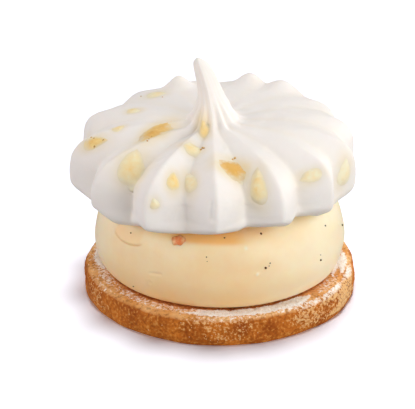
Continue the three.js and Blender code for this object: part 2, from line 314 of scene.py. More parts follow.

# %% [markdown]
# ## Baked meringue
# Whisked egg white and sugar, dried more than baked: it stays off-white and has a fine dry skin with tiny
# pores. Light goes some way into the foam and comes out again, so subsurface scattering softens the shade on
# the ribs. The tree that makes the rosette leaves the number "groove" on it, and the almonds leave "oily"
# round them. A warm tint follows both: in the grooves it is painted shade where the ribs meet, round the
# slices it is the almond's oil.

# %% Meringue finish
meringue_finish, nodes, shader = finish("baked meringue", {
    "Roughness": 0.62,
    "IOR": 1.45,
    "Specular IOR Level": 0.3,
    "Subsurface Weight": 0.2,
    "Subsurface Radius": (1.0, 0.75, 0.55),
    "Subsurface Scale": 0.9 * MM,
})
place = add(nodes, "ShaderNodeTexCoord").outputs["Object"]
groove = add(nodes, "ShaderNodeAttribute", attribute_name="groove").outputs["Fac"]
oily = add(nodes, "ShaderNodeAttribute", attribute_name="oily").outputs["Fac"]
# painted shade: a warm tint deepens in the grooves, where the ribs meet, and the almond oil is added round
# the slices
groove_shade_and_oil = add(nodes, "ShaderNodeMapRange", {0: groove, 1: 0.45, 2: 1.0, 3: 0.0, 4: 0.1})
groove_shade_and_oil = add(nodes, "ShaderNodeMath", {0: groove_shade_and_oil, 1: oily}, operation="ADD")
blotch = pattern(nodes, 9, 0.3, 0.7, detail=3.0, start=0.4, end=1.1)
painted_shade_and_oil_tint = add(nodes, "ShaderNodeMath", {0: groove_shade_and_oil, 1: blotch}, operation="MULTIPLY", use_clamp=True)
nodes.links.new(coats(nodes, "#f3eeea", (painted_shade_and_oil_tint, "#ecd6a2")), shader["Base Color"])
skin = add(nodes, "ShaderNodeTexNoise", {"Vector": place, "Scale": per(0.9), "Detail": 4.0, "Roughness": 0.6})
pores = add(nodes, "ShaderNodeBump", {"Strength": 0.12, "Distance": 0.3 * MM, "Height": skin})
nodes.links.new(pores.outputs["Normal"], shader["Normal"])
print("meringue nodes:", len(nodes.nodes))

# %% [markdown]
# ## The piped rosette
# A pastry cook holds an open star nozzle still, lets the meringue spread out and then pulls up: that gives
# ribs that start at the foot, run over a flattish dome and gather in a peak. It could be sculpted rib by rib,
# but the shape follows a rule, so a node tree bends one fine grid into it. Across the grid runs the bearing
# round the rosette, and up the grid runs the way from the middle of the underside to the tip. An outline
# gives each row its radius and height, and a wave round the rosette sinks the grooves into it.

# %% Sizes of the rosette
BELLY_RADIUS = 40.5  # mm, to the crest of a rib at the widest ring
FOOT_RADIUS = 35.7
BELLY_HEIGHT = 5.2
FLANK_INSET = 1.2  # how far the side has come in below the belly
FLANK_SHARE = 0.45  # and at which share of the belly's height
DOME_RISE = 14.4
DOME_FULLNESS = 3.6  # exponent of the dome's outline, where 2 is an ellipse
DOME_TILT = math.radians(2.9)  # the piping piled up on one side, so the top slopes
HIGH_BEARING = math.radians(100)  # where it is highest
PEAK_HEIGHT = 38.0
PEAK_FOOT_RADIUS = 7.5
PEAK_LEAN = 4.2  # the tip leans to the left
LEAN_START = 18.0
LEAN_BEND = 2.0  # 1 is a straight lean, more bends it towards the tip
ROSETTE_ASIDE = -2.1  # it was set down a little left of the middle
cream_low, cream_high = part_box("cream")
ROSETTE_FLOOR = cream_high[2]  # the middle of its underside lies on the cream

rosette_sizes = {
    "Ribs": 14,
    "Rib depth": 7.0 * MM,
    "Deepening": 1.8,
    "Smoothest bearing": math.radians(150),
    "Smoothest rib depth": 2.2 * MM,
    "Smoothest deepening": 7.0,
    "Foot rib share": 0.6,
    "Crispness": 0.985,
    "Crowding": math.radians(9.2),
    "Widest rib bearing": math.radians(-75.7),
    "Star turn": math.radians(-8.1),
    "Waver": math.radians(3.0),
    "Oval": 0.037,
    "Long bearing": math.radians(29.5),
    "Belly radius": BELLY_RADIUS * MM,
    "Belly height": BELLY_HEIGHT * MM,
    "Rise to the right": math.tan(DOME_TILT) * math.sin(HIGH_BEARING),
    "Rise to the back": -math.tan(DOME_TILT) * math.cos(HIGH_BEARING),
    "Tilt height": 10.0 * MM,
    "Peak height": PEAK_HEIGHT * MM,
    "Peak lean": PEAK_LEAN * MM,
    "Lean start": LEAN_START * MM,
    "Lean bend": LEAN_BEND,
    "Aside": ROSETTE_ASIDE * MM,
    "Floor": float(ROSETTE_FLOOR),
    "Lump height": 0.55 * MM,
    "Grain height": 0.16 * MM,
    "Columns": 450,
    "Rows": 190,
    "Material": meringue_finish,
}
print("sizes of the rosette:", len(rosette_sizes))


# %% Outline of the rosette
def dome(share):
    """A point of the dome's outline at that share of the widest radius, in mm."""
    rise = DOME_RISE * (1 - share ** DOME_FULLNESS) ** (1 / DOME_FULLNESS)
    return BELLY_RADIUS * share, BELLY_HEIGHT + rise


def peak(width, height):
    """A point of the peak's outline, at shares of its foot radius and of its height above the dome."""
    dome_top = BELLY_HEIGHT + DOME_RISE
    return PEAK_FOOT_RADIUS * width, dome_top + height * (PEAK_HEIGHT - dome_top)


DOME_SHARES = (1, 0.985, 0.9, 0.74, 0.54, 0.35)
PEAK_SHARES = ((1, 0.02), (0.61, 0.3), (0.47, 0.55), (0.4, 0.75), (0.28, 0.91), (0, 1))
crest = [(FOOT_RADIUS, 0), (BELLY_RADIUS - FLANK_INSET, FLANK_SHARE * BELLY_HEIGHT)]
crest += [dome(share) for share in DOME_SHARES]
crest += [peak(*shares) for shares in PEAK_SHARES]
crest_points = [(radius * MM, 0, height * MM) for radius, height in crest]
print("outline points:", len(crest), "tip at", round((ROSETTE_FLOOR / MM + PEAK_HEIGHT), 1), "mm")

# %% Rosette tree: the outline and the grid
UNDERSIDE = -0.46  # rows of the grid below this share close the flat underside
tree, size = open_tree("piped rosette", rosette_sizes)
curve = add(tree, "GeometryNodeMeshToCurve", {"Mesh": size["Geometry"]})
curve = add(tree, "GeometryNodeCurveSplineType", {"Curve": curve}, spline_type="CATMULL_ROM")
curve = add(tree, "GeometryNodeSetSplineResolution", {"Geometry": curve, "Resolution": 24})
grid = add(tree, "GeometryNodeMeshGrid", {"Vertices X": size["Columns"], "Vertices Y": size["Rows"]})
spot = add(tree, "ShaderNodeSeparateXYZ", {0: add(tree, "GeometryNodeInputPosition")}).outputs
bearing = add(tree, "ShaderNodeMath", {0: spot["X"], 1: 2 * math.pi}, operation="MULTIPLY")
along = add(tree, "ShaderNodeMapRange", {0: spot["Y"], 1: UNDERSIDE, 2: 0.5})
inset = add(tree, "ShaderNodeMapRange", {0: spot["Y"], 1: -0.5, 2: UNDERSIDE})
on_crest = add(tree, "GeometryNodeSampleCurve", {"Curves": curve, "Factor": along}, mode="FACTOR").outputs
crest_at = add(tree, "ShaderNodeSeparateXYZ", {0: on_crest["Position"]}).outputs
slope = add(tree, "ShaderNodeSeparateXYZ", {0: on_crest["Tangent"]}).outputs
print("nodes for outline and grid:", len(tree.nodes))


# %% Rosette tree: the wave of the star
def swing(tree, places, scale, detail, height):
    """A noise that swings up and down by up to half a height."""
    noise = add(tree, "ShaderNodeTexNoise", {"Vector": places, "Scale": scale, "Detail": detail})
    noise = add(tree, "ShaderNodeMath", {0: noise, 1: 0.5}, operation="SUBTRACT")
    return add(tree, "ShaderNodeMath", {0: noise, 1: height}, operation="MULTIPLY")


SWAY_SCALE = 2.2  # of a noise on a ring with radius 1
sine = add(tree, "ShaderNodeMath", {0: bearing}, operation="SINE")
cosine = add(tree, "ShaderNodeMath", {0: bearing}, operation="COSINE")
ring = add(tree, "ShaderNodeCombineXYZ", {0: sine, 1: cosine, 2: along})
sway = swing(tree, ring, SWAY_SCALE, 1.0, size["Waver"])
crowd = add(tree, "ShaderNodeMath", {0: bearing, 1: size["Widest rib bearing"]}, operation="SUBTRACT")
crowd = add(tree, "ShaderNodeMath", {0: crowd}, operation="SINE")
crowd = add(tree, "ShaderNodeMath", {0: crowd, 1: size["Crowding"]}, operation="MULTIPLY")
star = add(tree, "ShaderNodeMath", {0: bearing, 1: size["Star turn"]}, operation="SUBTRACT")
star = add(tree, "ShaderNodeMath", {0: star, 1: crowd}, operation="SUBTRACT")
star = add(tree, "ShaderNodeMath", {0: star, 1: sway}, operation="ADD")
star = add(tree, "ShaderNodeMath", {0: star, 1: size["Ribs"]}, operation="MULTIPLY")
wave = add(tree, "ShaderNodeMath", {0: star}, operation="COSINE")
wave = add(tree, "ShaderNodeMath", {0: wave, 1: size["Crispness"]}, operation="MULTIPLY")
wave = add(tree, "ShaderNodeMath", {0: wave}, operation="ARCSINE")
full = add(tree, "ShaderNodeMath", {0: size["Crispness"]}, operation="ARCSINE")
wave = add(tree, "ShaderNodeMath", {0: wave, 1: full}, operation="DIVIDE")
groove = add(tree, "ShaderNodeMath", {0: wave, 1: -0.5, 2: 0.5}, operation="MULTIPLY_ADD")
print("nodes with the wave:", len(tree.nodes))

# %% Rosette tree: the depth of the grooves
shares = {0: crest_at["Z"], 2: size["Belly height"], 3: size["Foot rib share"], 4: 1.0}
foot_share = add(tree, "ShaderNodeMapRange", shares, interpolation_type="SMOOTHSTEP")
smoothness = add(tree, "ShaderNodeMath", {0: bearing, 1: size["Smoothest bearing"]}, operation="SUBTRACT")
smoothness = add(tree, "ShaderNodeMath", {0: smoothness}, operation="COSINE")
smoothness = add(tree, "ShaderNodeMath", {0: smoothness, 1: 0.5, 2: 0.5}, operation="MULTIPLY_ADD")
ends = {3: size["Rib depth"], 4: size["Smoothest rib depth"]}
ring_depth = add(tree, "ShaderNodeMapRange", {0: smoothness, **ends})
ends = {3: size["Deepening"], 4: size["Smoothest deepening"]}
deepening = add(tree, "ShaderNodeMapRange", {0: smoothness, **ends})
reach = add(tree, "ShaderNodeMath", {0: crest_at["X"], 1: size["Belly radius"]}, operation="DIVIDE")
depth = add(tree, "ShaderNodeMath", {0: reach, 1: deepening}, operation="POWER")
for factor in (ring_depth, foot_share, groove):
    depth = add(tree, "ShaderNodeMath", {0: depth, 1: factor}, operation="MULTIPLY")
print("nodes with the grooves:", len(tree.nodes))

# %% Rosette tree: points in space
inward = add(tree, "ShaderNodeMath", {0: slope["X"], 1: 0.0}, operation="MINIMUM")
downward = add(tree, "ShaderNodeMath", {0: slope["Z"], 1: -1.0}, operation="MULTIPLY")
sink = add(tree, "ShaderNodeCombineXYZ", {0: downward, 2: inward})
sink = add(tree, "ShaderNodeVectorMath", {0: sink}, operation="NORMALIZE")
sink = add(tree, "ShaderNodeVectorMath", {0: sink, "Scale": depth}, operation="SCALE")
section = add(tree, "ShaderNodeVectorMath", {0: on_crest["Position"], 1: sink.outputs[0]}, operation="ADD")
section = add(tree, "ShaderNodeSeparateXYZ", {0: section}).outputs
swell = add(tree, "ShaderNodeMath", {0: bearing, 1: size["Long bearing"]}, operation="SUBTRACT")
swell = add(tree, "ShaderNodeMath", {0: swell, 1: 2.0}, operation="MULTIPLY")
swell = add(tree, "ShaderNodeMath", {0: swell}, operation="COSINE")
swell = add(tree, "ShaderNodeMath", {0: swell, 1: size["Oval"]}, operation="MULTIPLY")
swell = add(tree, "ShaderNodeMath", {0: swell, 1: reach, 2: 1.0}, operation="MULTIPLY_ADD")
radius = add(tree, "ShaderNodeMath", {0: section["X"], 1: 0.0}, operation="MAXIMUM")
for factor in (swell, inset):
    radius = add(tree, "ShaderNodeMath", {0: radius, 1: factor}, operation="MULTIPLY")
lean = add(tree, "ShaderNodeMapRange", {0: crest_at["Z"], 1: size["Lean start"], 2: size["Peak height"]})
lean = add(tree, "ShaderNodeMath", {0: lean, 1: size["Lean bend"]}, operation="POWER")
lean = add(tree, "ShaderNodeMath", {0: lean, 1: size["Peak lean"]}, operation="MULTIPLY")
x = add(tree, "ShaderNodeMath", {0: radius, 1: sine}, operation="MULTIPLY")
x = add(tree, "ShaderNodeMath", {0: x, 1: lean}, operation="SUBTRACT")
y = add(tree, "ShaderNodeMath", {0: radius, 1: cosine}, operation="MULTIPLY")
y = add(tree, "ShaderNodeMath", {0: y, 1: -1.0}, operation="MULTIPLY")
tilt = add(tree, "ShaderNodeMath", {0: x, 1: size["Rise to the right"]}, operation="MULTIPLY")
tilt = add(tree, "ShaderNodeMath", {0: y, 1: size["Rise to the back"], 2: tilt}, operation="MULTIPLY_ADD")
tilted = add(tree, "ShaderNodeMapRange", {0: crest_at["Z"], 2: size["Tilt height"]})
z = add(tree, "ShaderNodeMath", {0: tilt, 1: tilted, 2: section["Z"]}, operation="MULTIPLY_ADD")
z = add(tree, "ShaderNodeMath", {0: z, 1: size["Floor"]}, operation="ADD")
x = add(tree, "ShaderNodeMath", {0: x, 1: size["Aside"]}, operation="ADD")
point = add(tree, "ShaderNodeCombineXYZ", {0: x, 1: y, 2: z})
print("nodes with the points:", len(tree.nodes))

# %% Rosette tree: marks, merged seam and soft relief
SEAM_WIDTH = 0.02 * MM  # points of the seam that are nearer than this become one
RELIEF_START = 0.06  # up to this share of the outline the relief grows


def raised(tree, shape, relief):
    """A shape whose points are moved along the way that they face."""
    facing = add(tree, "GeometryNodeInputNormal")
    offset = add(tree, "ShaderNodeVectorMath", {0: facing, "Scale": relief}, operation="SCALE")
    return add(tree, "GeometryNodeSetPosition", {"Geometry": shape, "Offset": offset})


shape = grid
marks = {"groove": groove, "along": along, "level": crest_at["Z"], "inset": inset}
for name, field in marks.items():
    shape = add(tree, "GeometryNodeStoreNamedAttribute", {"Geometry": shape, "Name": name, "Value": field})
shape = add(tree, "GeometryNodeSetPosition", {"Geometry": shape, "Position": point})
shape = add(tree, "GeometryNodeMergeByDistance", {"Geometry": shape, "Distance": SEAM_WIDTH})
where = add(tree, "GeometryNodeInputPosition")
lumps = swing(tree, where, per(6.5), 1.5, size["Lump height"])
grain = swing(tree, where, per(1.8), 2.0, size["Grain height"])
relief = add(tree, "ShaderNodeMath", {0: grain, 1: lumps}, operation="ADD")
share = add(tree, "GeometryNodeInputNamedAttribute", {"Name": "along"}, data_type="FLOAT")
share = add(tree, "ShaderNodeMapRange", {0: share, 1: 0.0, 2: RELIEF_START}, interpolation_type="SMOOTHSTEP")
relief = add(tree, "ShaderNodeMath", {0: relief, 1: share}, operation="MULTIPLY")
close_tree(tree, raised(tree, shape, relief), size["Material"])

crest_wire = mesh_object("crest line", crest_points, [(step, step + 1) for step in range(len(crest) - 1)])
rosette = grown("meringue_rosette", crest_wire, tree, rosette_sizes)

# %% [markdown]
# No cook pipes an even rosette. Its foot isn't level: some ribs sagged over the edge of the cream and others
# stayed above it, and the underside lies flat only on the cream. Behind the dome, the ends of some ribs stand
# up as lumps. Those are single places without a rule, so they are moved one by one with arrays, which is
# easier to follow than a longer tree.


# %% Sagging ribs
def steps(value, low, high):
    """0 below low, 1 above high and an even swing between them."""
    share = np.clip((value - low) / (high - low), 0, 1)
    return share * share * (3 - 2 * share)


def apart(bearing, degrees):
    """How far each bearing is from one given in degrees, in degrees and on the shorter way round."""
    return (np.degrees(bearing) - degrees + 180) % 360 - 180


def between(value, start, full, fade, end):
    """Swings up from 0 at start to 1 at full, and down again from fade to end."""
    return steps(value, start, full) * (1 - steps(value, fade, end))


SAGS = [  # place counted in ribs from the front one, so that halves are grooves, and drop in mm
    (-3, 2), (-2.5, 2.8), (-2, 0), (-1.8, 2.4), (-1.5, 1.8), (-1.2, -0.2), (-0.5, 0.2), (0, -1.8),
    (0.4, -1.5), (0.6, -2.4), (1, -2.5), (1.25, -1.2), (1.4, -2.6), (1.8, -1.9), (2.5, 1.4),
    (2.7, 0.2), (4.5, -0.4), (6, 1), (7.5, -0.6), (9.5, 0.6), (11, 2),
]
SAG_HEIGHT = 10.0  # above this nothing sagged
BED_RADIUS = 28.0  # inside this the underside lies flat on the cream
BED_EDGE = 4.0  # over this width it bends away from the cream

rosette_points = read_attribute(rosette, "position", "vector", 3).astype(float)
rosette_level = read_attribute(rosette, "level") / MM
rosette_along = read_attribute(rosette, "along")
outside = read_attribute(rosette, "inset") >= 1
leaning = np.clip((rosette_level - LEAN_START) / (PEAK_HEIGHT - LEAN_START), 0, 1) ** LEAN_BEND
upright = rosette_points[:, 0] / MM - ROSETTE_ASIDE + PEAK_LEAN * leaning
rosette_bearing = np.arctan2(upright, -rosette_points[:, 1] / MM)
spread = np.hypot(upright, rosette_points[:, 1] / MM)
even = rosette_bearing - rosette_sizes["Star turn"]
even -= rosette_sizes["Crowding"] * np.sin(rosette_bearing - rosette_sizes["Widest rib bearing"])
even *= rosette_sizes["Ribs"]
counted = even / (2 * math.pi)
counted = SAGS[0][0] + (counted - SAGS[0][0]) % rosette_sizes["Ribs"]
drop = np.interp(counted, *zip(*SAGS))
on_rim = np.where(outside, 1, steps(spread, BED_RADIUS, BED_RADIUS + BED_EDGE))
rosette_points[:, 2] -= drop * MM * on_rim * (1 - steps(rosette_level, 0, SAG_HEIGHT))
print("deepest sag:", round(drop.max(), 1), "mm")

# %% Lumps behind the dome
LUMPS = [(-160, 28.7, 3.6, 3.4), (158, 29, 3.5, 3.8), (140, 31, 2.6, 4.6)]  # bearing, radius, height, spread
rises = [np.zeros(len(rosette_points))]
for middle, radius, height, lump_spread in LUMPS:
    along_x = radius * math.sin(math.radians(middle)) - (rosette_points[:, 0] / MM - ROSETTE_ASIDE)
    along_y = -radius * math.cos(math.radians(middle)) - rosette_points[:, 1] / MM
    rises.append(height * np.exp(-(along_x ** 2 + along_y ** 2) / lump_spread ** 2))
rosette_points[:, 2] += np.max(rises, axis=0) * MM * outside
print("lumps:", len(LUMPS))

# %% [markdown]
# Three finer forms follow from how it was piped: a thin crease in the front rib, folds that run from the ribs
# up into the peak, and flat faces with soft edges on the peak, where the nozzle was lifted off. Each presses
# points in towards the axis, so one function does that for all of them.

# %% Crease, folds and the faces of the peak
CREASE_BEARING = -0.2
CREASE_DEPTH = 0.9
CREASE_WIDTH = 0.5
CREASE_REACH = (0.13, 0.16, 0.21, 0.25)  # shares of the outline: starts, is deepest, fades and ends
FOLD_DEPTH = 0.9
FOLD_REACH = (3.5, 7, 10, 20)  # radii in mm: the folds start, are deepest, fade and end
FOLD_LOW = 0.3  # below this share of the outline there are none
FOLD_BEARING = -25  # they are deepest here
FOLD_FADE = (45, 90)  # and weaken between so many degrees to either side
FOLD_WEAKER = 0.7  # by this share
FOLD_INWARD, FOLD_DOWN = 0.8, 0.6  # the way along which they are pressed in
TIP_EDGES = (-130, 0, 100, 230)  # bearings of the edges that the lifted nozzle left on the peak, once round
TIP_HOLLOW = 0.24  # how far its faces lie in between them, as a share of the radius
TIP_START = (21, 27)  # mm, the heights between which the faces begin


def press(depth):
    """Moves the rosette's points in towards its axis by so many mm."""
    rosette_points[:, 0] -= depth * np.sin(rosette_bearing) * MM
    rosette_points[:, 1] += depth * np.cos(rosette_bearing) * MM


across = np.radians(apart(rosette_bearing, CREASE_BEARING)) * spread
press(CREASE_DEPTH * between(rosette_along, *CREASE_REACH) * np.exp(-((across / CREASE_WIDTH) ** 2)))
near_peak = between(spread, *FOLD_REACH) * (rosette_along > FOLD_LOW)
near_peak *= 1 - FOLD_WEAKER * steps(np.abs(apart(rosette_bearing, FOLD_BEARING)), *FOLD_FADE)
folded = FOLD_DEPTH * near_peak * (0.5 - 0.5 * np.cos(even))
press(FOLD_INWARD * folded)
rosette_points[:, 2] -= FOLD_DOWN * folded * MM
turned_by = TIP_EDGES[0] + (np.degrees(rosette_bearing) - TIP_EDGES[0]) % 360
across_face = np.abs(np.sin(math.pi * np.interp(turned_by, TIP_EDGES, range(len(TIP_EDGES)))))
press(TIP_HOLLOW * spread * across_face * steps(rosette_level, *TIP_START))
rosette.data.vertices.foreach_set("co", rosette_points.ravel())
rosette.data.update()
print("lowest point of the rosette:", round(rosette_points[:, 2].min() / MM, 1), "mm")
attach(rosette, "root")
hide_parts("meringue")

# %% [markdown]
# ## Flaked almonds
# Blanched almonds cut into thin slices, toasted in the oven with the meringue: some came out pale yellow,
# others golden brown. Each lies in a groove and bridges it from rib to rib, and its thin edge has sunk into
# the meringue, so the yellow fades there. One slice is modelled as a thin closed lens. A node tree then puts
# a copy at each place, turned to the surface and scaled, makes each outline uneven, and bends the edges down
# onto the ribs below.

# %% Almond finish
almond_finish, nodes, shader = finish("toasted almond", {
    "Roughness": 0.5,
    "IOR": 1.46,
    "Specular IOR Level": 0.35,
    "Subsurface Weight": 0.2,
    "Subsurface Radius": (1.0, 0.6, 0.3),
    "Subsurface Scale": 0.8 * MM,
})
place = add(nodes, "ShaderNodeTexCoord").outputs["Object"]
toast = add(nodes, "ShaderNodeAttribute", attribute_name="toast").outputs["Fac"]
rim = add(nodes, "ShaderNodeAttribute", attribute_name="rim").outputs["Fac"]
uneven = pattern(nodes, 2.2, 0.3, 0.7, detail=3.0, start=-0.2, end=0.2)
browned = add(nodes, "ShaderNodeMath", {0: uneven, 1: toast}, operation="ADD", use_clamp=True)
pale = add(nodes, "ShaderNodeMapRange", {0: browned, 1: 0.0, 2: 0.5})
dark = add(nodes, "ShaderNodeMapRange", {0: browned, 1: 0.5, 2: 1.1})
edge = add(nodes, "ShaderNodeMath", {0: uneven, 1: rim}, operation="ADD")
edge = add(nodes, "ShaderNodeMapRange", {0: edge, 1: 0.3, 2: 0.9}, interpolation_type="SMOOTHSTEP")
baked = coats(nodes, "#fbf0d0", (pale, "#fbda94"), (dark, "#e1a63a"), (edge, "#f4e6c8"))
nodes.links.new(baked, shader["Base Color"])
fibre = add(nodes, "ShaderNodeTexNoise", {"Vector": place, "Scale": per(0.7), "Detail": 3.0})
ridges = add(nodes, "ShaderNodeBump", {"Strength": 0.25, "Distance": 0.2 * MM, "Height": fibre})
nodes.links.new(ridges.outputs["Normal"], shader["Normal"])
print("almond nodes:", len(nodes.nodes))

# %% One slice
LENS_RINGS = 6
SLICE_SEGMENTS = 32


def slice_outline(count):
    """Points round a slice of length 1 and width 1: pointed at the +X end and blunt at the other."""
    turn = np.linspace(0, 2, count, endpoint=False)[:, None]
    step = np.where(turn < 1, turn, 2 - turn)
    corners = np.array([(0.5, 0), (0.15, 0.62), (-0.5, 0.75), (-0.5, 0)])
    weights = [(1 - step) ** 3, 3 * step * (1 - step) ** 2, 3 * step ** 2 * (1 - step), step ** 3]
    points = sum(weight * corner for weight, corner in zip(weights, corners))
    points[:, 1] *= np.where(turn[:, 0] < 1, 1, -1)
    return points


def closed_lens(name, outline):
    """A closed lens inside an outline, 1 thick, whose points know how near the edge they are."""
    segments = len(outline)
    points = [(0, 0, 0.5)]
    rims = [0.0]
    for side in (1, -1):
        for ring in range(1, LENS_RINGS + (side > 0)):
            share = ring / LENS_RINGS if side > 0 else 1 - ring / LENS_RINGS
            rise = side * 0.5 * (1 - share ** 2)
            points += [(x * share, y * share, rise) for x, y in outline]
            rims += [share] * segments
    points.append((0, 0, -0.5))
    rims.append(0.0)
    rings = 2 * LENS_RINGS - 1
    faces = []
    for place in range(segments):
        after = (place + 1) % segments
        faces.append((0, 1 + place, 1 + after))
        for ring in range(rings - 1):
            upper = 1 + ring * segments
            lower = upper + segments
            faces.append((upper + place, lower + place, lower + after, upper + after))
        last = 1 + (rings - 1) * segments
        faces.append((last + place, len(points) - 1, last + after))
    thing = mesh_object(name, points, faces=faces)
    write_attribute(thing, "rim", rims)
    return thing


one_slice = closed_lens("almond slice", slice_outline(SLICE_SEGMENTS))
print("one slice:", len(one_slice.data.polygons), "faces")

# %% [markdown]
# Each place is given by its bearing round the rosette, how far up the slope it is, how long and wide the
# slice is, how it is turned from the line up the slope, and how brown it came out of the oven. Behind, where
# the picture doesn't reach, each groove holds one slice of a drawn size, from the same small random generator
# that drew the measured solid.

# %% Where the slices lie
FRONT_SLICES = [  # bearing, along, length mm, width mm, turn degrees, toast
    (-47.4, 0.366, 12.5, 7.5, -27, 0.3),
    (-72.2, 0.575, 15.5, 6.8, -40, 0.85),
    (10.4, 0.421, 9.8, 7, -54, 1.0),
    (20.2, 0.295, 12.5, 5, 11, 0.3),
    (-82.4, 0.326, 8, 4.5, 16, 0.6),
    (-19.6, 0.346, 6.2, 3.8, -15, 0.5),
    (-18.6, 0.703, 8, 3.1, -19, 0.4),
    (-114.7, 0.468, 4.8, 3.2, -8, 0.2),
    (-88.2, 0.436, 4.6, 3.2, -50, 0.3),
    (-143, 0.44, 6, 5, -52, 0.1),
    (-19.6, 0.558, 7.8, 4.8, -66, 0.25),
    (-11.6, 0.367, 8, 4.3, -28, 0.15),
    (44.4, 0.261, 7, 3.8, -75, 0.15),
    (68.2, 0.164, 8.4, 4.6, 13, 0.05),
    (-23.9, 0.202, 3.3, 2.9, -7, 0.1),
]
BACK_GROOVES = range(5, 11)
BACK_SEED = 41
BACK_TOASTS = (0.3, 0.75, 0.2, 0.45, 0.8, 0.3)
BACK_RANGES = ((-2, 2), (0.12, 0.24), (6, 9), (4, 5.5), (-25, 25))  # aside, along, length, width, turn
SLICE_THICKNESS = 0.7  # mm
SUNK_EDGE = 1.35  # slices are made this many times as wide, and what that adds is sunk in the meringue
print("slices in the picture:", len(FRONT_SLICES))

# %% Slices behind
WORD = 0xFFFFFFFF  # the generator below counts in 32 bits
SETTLING_STEPS = 30  # after that many a bearing stays where it is


def draws(seed):
    """Numbers from 0 to 1, from a small generator that mixes the bits of a growing count."""
    state = seed
    while True:
        state = (state + 0x6D2B79F5) & WORD
        mixed = ((state ^ (state >> 15)) * (state | 1)) & WORD
        mixed ^= (mixed + ((mixed ^ (mixed >> 7)) * (mixed | 61) & WORD)) & WORD
        yield (mixed ^ (mixed >> 14)) / 2 ** 32


def settled(start, step):
    """Repeats a step that brings a value closer to where it stays."""
    value = start
    for _ in range(SETTLING_STEPS):
        value = step(value)
    return value


def rib_bearing(count):
    """The bearing of a place counted in ribs from the front one: halves are grooves."""
    even = rosette_sizes["Star turn"] + 2 * math.pi * count / rosette_sizes["Ribs"]
    widest = rosette_sizes["Widest rib bearing"]
    return settled(even, lambda guess: even + rosette_sizes["Crowding"] * math.sin(guess - widest))


def back_slices():
    """One slice for each groove that the picture doesn't show."""
    numbers = draws(BACK_SEED)
    next(numbers)  # the first one is left out, as for the measured solid
    for groove, toast in zip(BACK_GROOVES, BACK_TOASTS):
        aside, *rest = [low + (high - low) * next(numbers) for low, high in BACK_RANGES]
        yield (math.degrees(rib_bearing(groove + 0.5)) + aside, *rest, toast)


slices = FRONT_SLICES + list(back_slices())
print("slices:", len(slices))

# %% Lay the slices on the ribs
crest_steps = np.diff(np.array(crest), axis=0)
CREST_LENGTH = float(np.hypot(crest_steps[:, 0], crest_steps[:, 1]).sum())  # mm, near enough for small steps
TURN_WEIGHT = 0.3  # what a radian round the rosette counts beside the whole way up its outline
OUTLINE_STEPS = 51  # places up the outline at which the widest radius is measured
NEARBY = 0.01  # over this share of the outline to either side
EDGE_SHARE = 0.4  # a slice rests on four points at this share of its length and width from its middle


def on_rosette(along, bearing):
    """The rosette's own point nearest to a place on its outline and a bearing."""
    turn = (rosette_bearing - bearing + math.pi) % (2 * math.pi) - math.pi
    return rosette_points[np.argmin((rosette_along - along) ** 2 + (TURN_WEIGHT * turn) ** 2)]


def unit(vector):
    """The same direction with length 1."""
    return vector / np.linalg.norm(vector)


heights = np.linspace(0, 1, OUTLINE_STEPS)
crest_radii = [float(spread[np.abs(rosette_along - height) < NEARBY].max()) for height in heights]


def laid(bearing, along, length, width, turn, toast):
    """The middle and the two main directions of a slice that rests on the ribs under its edges."""
    radius = np.interp(along, heights, crest_radii)

    def reach(distance, angle):
        """The rosette's point that far from the middle, at an angle from the line up the slope."""
        up = distance * math.cos(math.radians(angle)) / CREST_LENGTH
        right = distance * math.sin(math.radians(angle))
        return on_rosette(along + up, math.radians(bearing) + right / radius)

    ends = ((length, turn), (-length, turn), (width, turn + 90), (-width, turn + 90))
    edges = [reach(EDGE_SHARE * distance, angle) for distance, angle in ends]
    lengthwise = unit(edges[0] - edges[1])
    outward = unit(np.cross(edges[2] - edges[3], lengthwise))
    middle = sum(edges) / 4
    lift = max(0.0, float((reach(0, 0) - middle) @ outward))
    return middle + outward * lift, lengthwise, outward


placed = [laid(*one) for one in slices]
middles, lengthwise_ways, outward_ways = zip(*placed)
sizes_mm = [(SUNK_EDGE * length, SUNK_EDGE * width, SLICE_THICKNESS) for _, _, length, width, _, _ in slices]
spots = mesh_object("slice places", middles)
write_attribute(spots, "lengthwise", lengthwise_ways, "FLOAT_VECTOR")
write_attribute(spots, "outward", outward_ways, "FLOAT_VECTOR")
write_attribute(spots, "slice size", np.array(sizes_mm) * MM, "FLOAT_VECTOR")
write_attribute(spots, "toast", [toast for *_, toast in slices])
print("slices laid:", len(placed))

# %% Slice tree
slice_sizes = {
    "Slice": one_slice,
    "Rosette": rosette,
    "Ragged": 1.2 * MM,
    "Tuck": 1.0,
    "Rim sink": -0.5 * MM,  # along the way that the rosette faces, so below zero
    "Material": almond_finish,
}
tree, size = open_tree("flaked almonds", slice_sizes)
kept = {}
for name in ("lengthwise", "outward", "slice size"):
    kept[name] = add(tree, "GeometryNodeInputNamedAttribute", {"Name": name}, data_type="FLOAT_VECTOR")
axes = {"Primary Axis": kept["outward"], "Secondary Axis": kept["lengthwise"]}
facing = add(tree, "FunctionNodeAxesToRotation", axes, primary_axis="Z", secondary_axis="X")
model = add(tree, "GeometryNodeObjectInfo", {"Object": size["Slice"]}).outputs["Geometry"]
points = add(tree, "GeometryNodeMeshToPoints", {"Mesh": size["Geometry"]})
lying = {"Points": points, "Instance": model, "Rotation": facing, "Scale": kept["slice size"]}
copies = add(tree, "GeometryNodeInstanceOnPoints", lying)
copies = add(tree, "GeometryNodeRealizeInstances", {"Geometry": copies})
rim = add(tree, "GeometryNodeInputNamedAttribute", {"Name": "rim"}, data_type="FLOAT")
print("nodes that lay the slices:", len(tree.nodes))


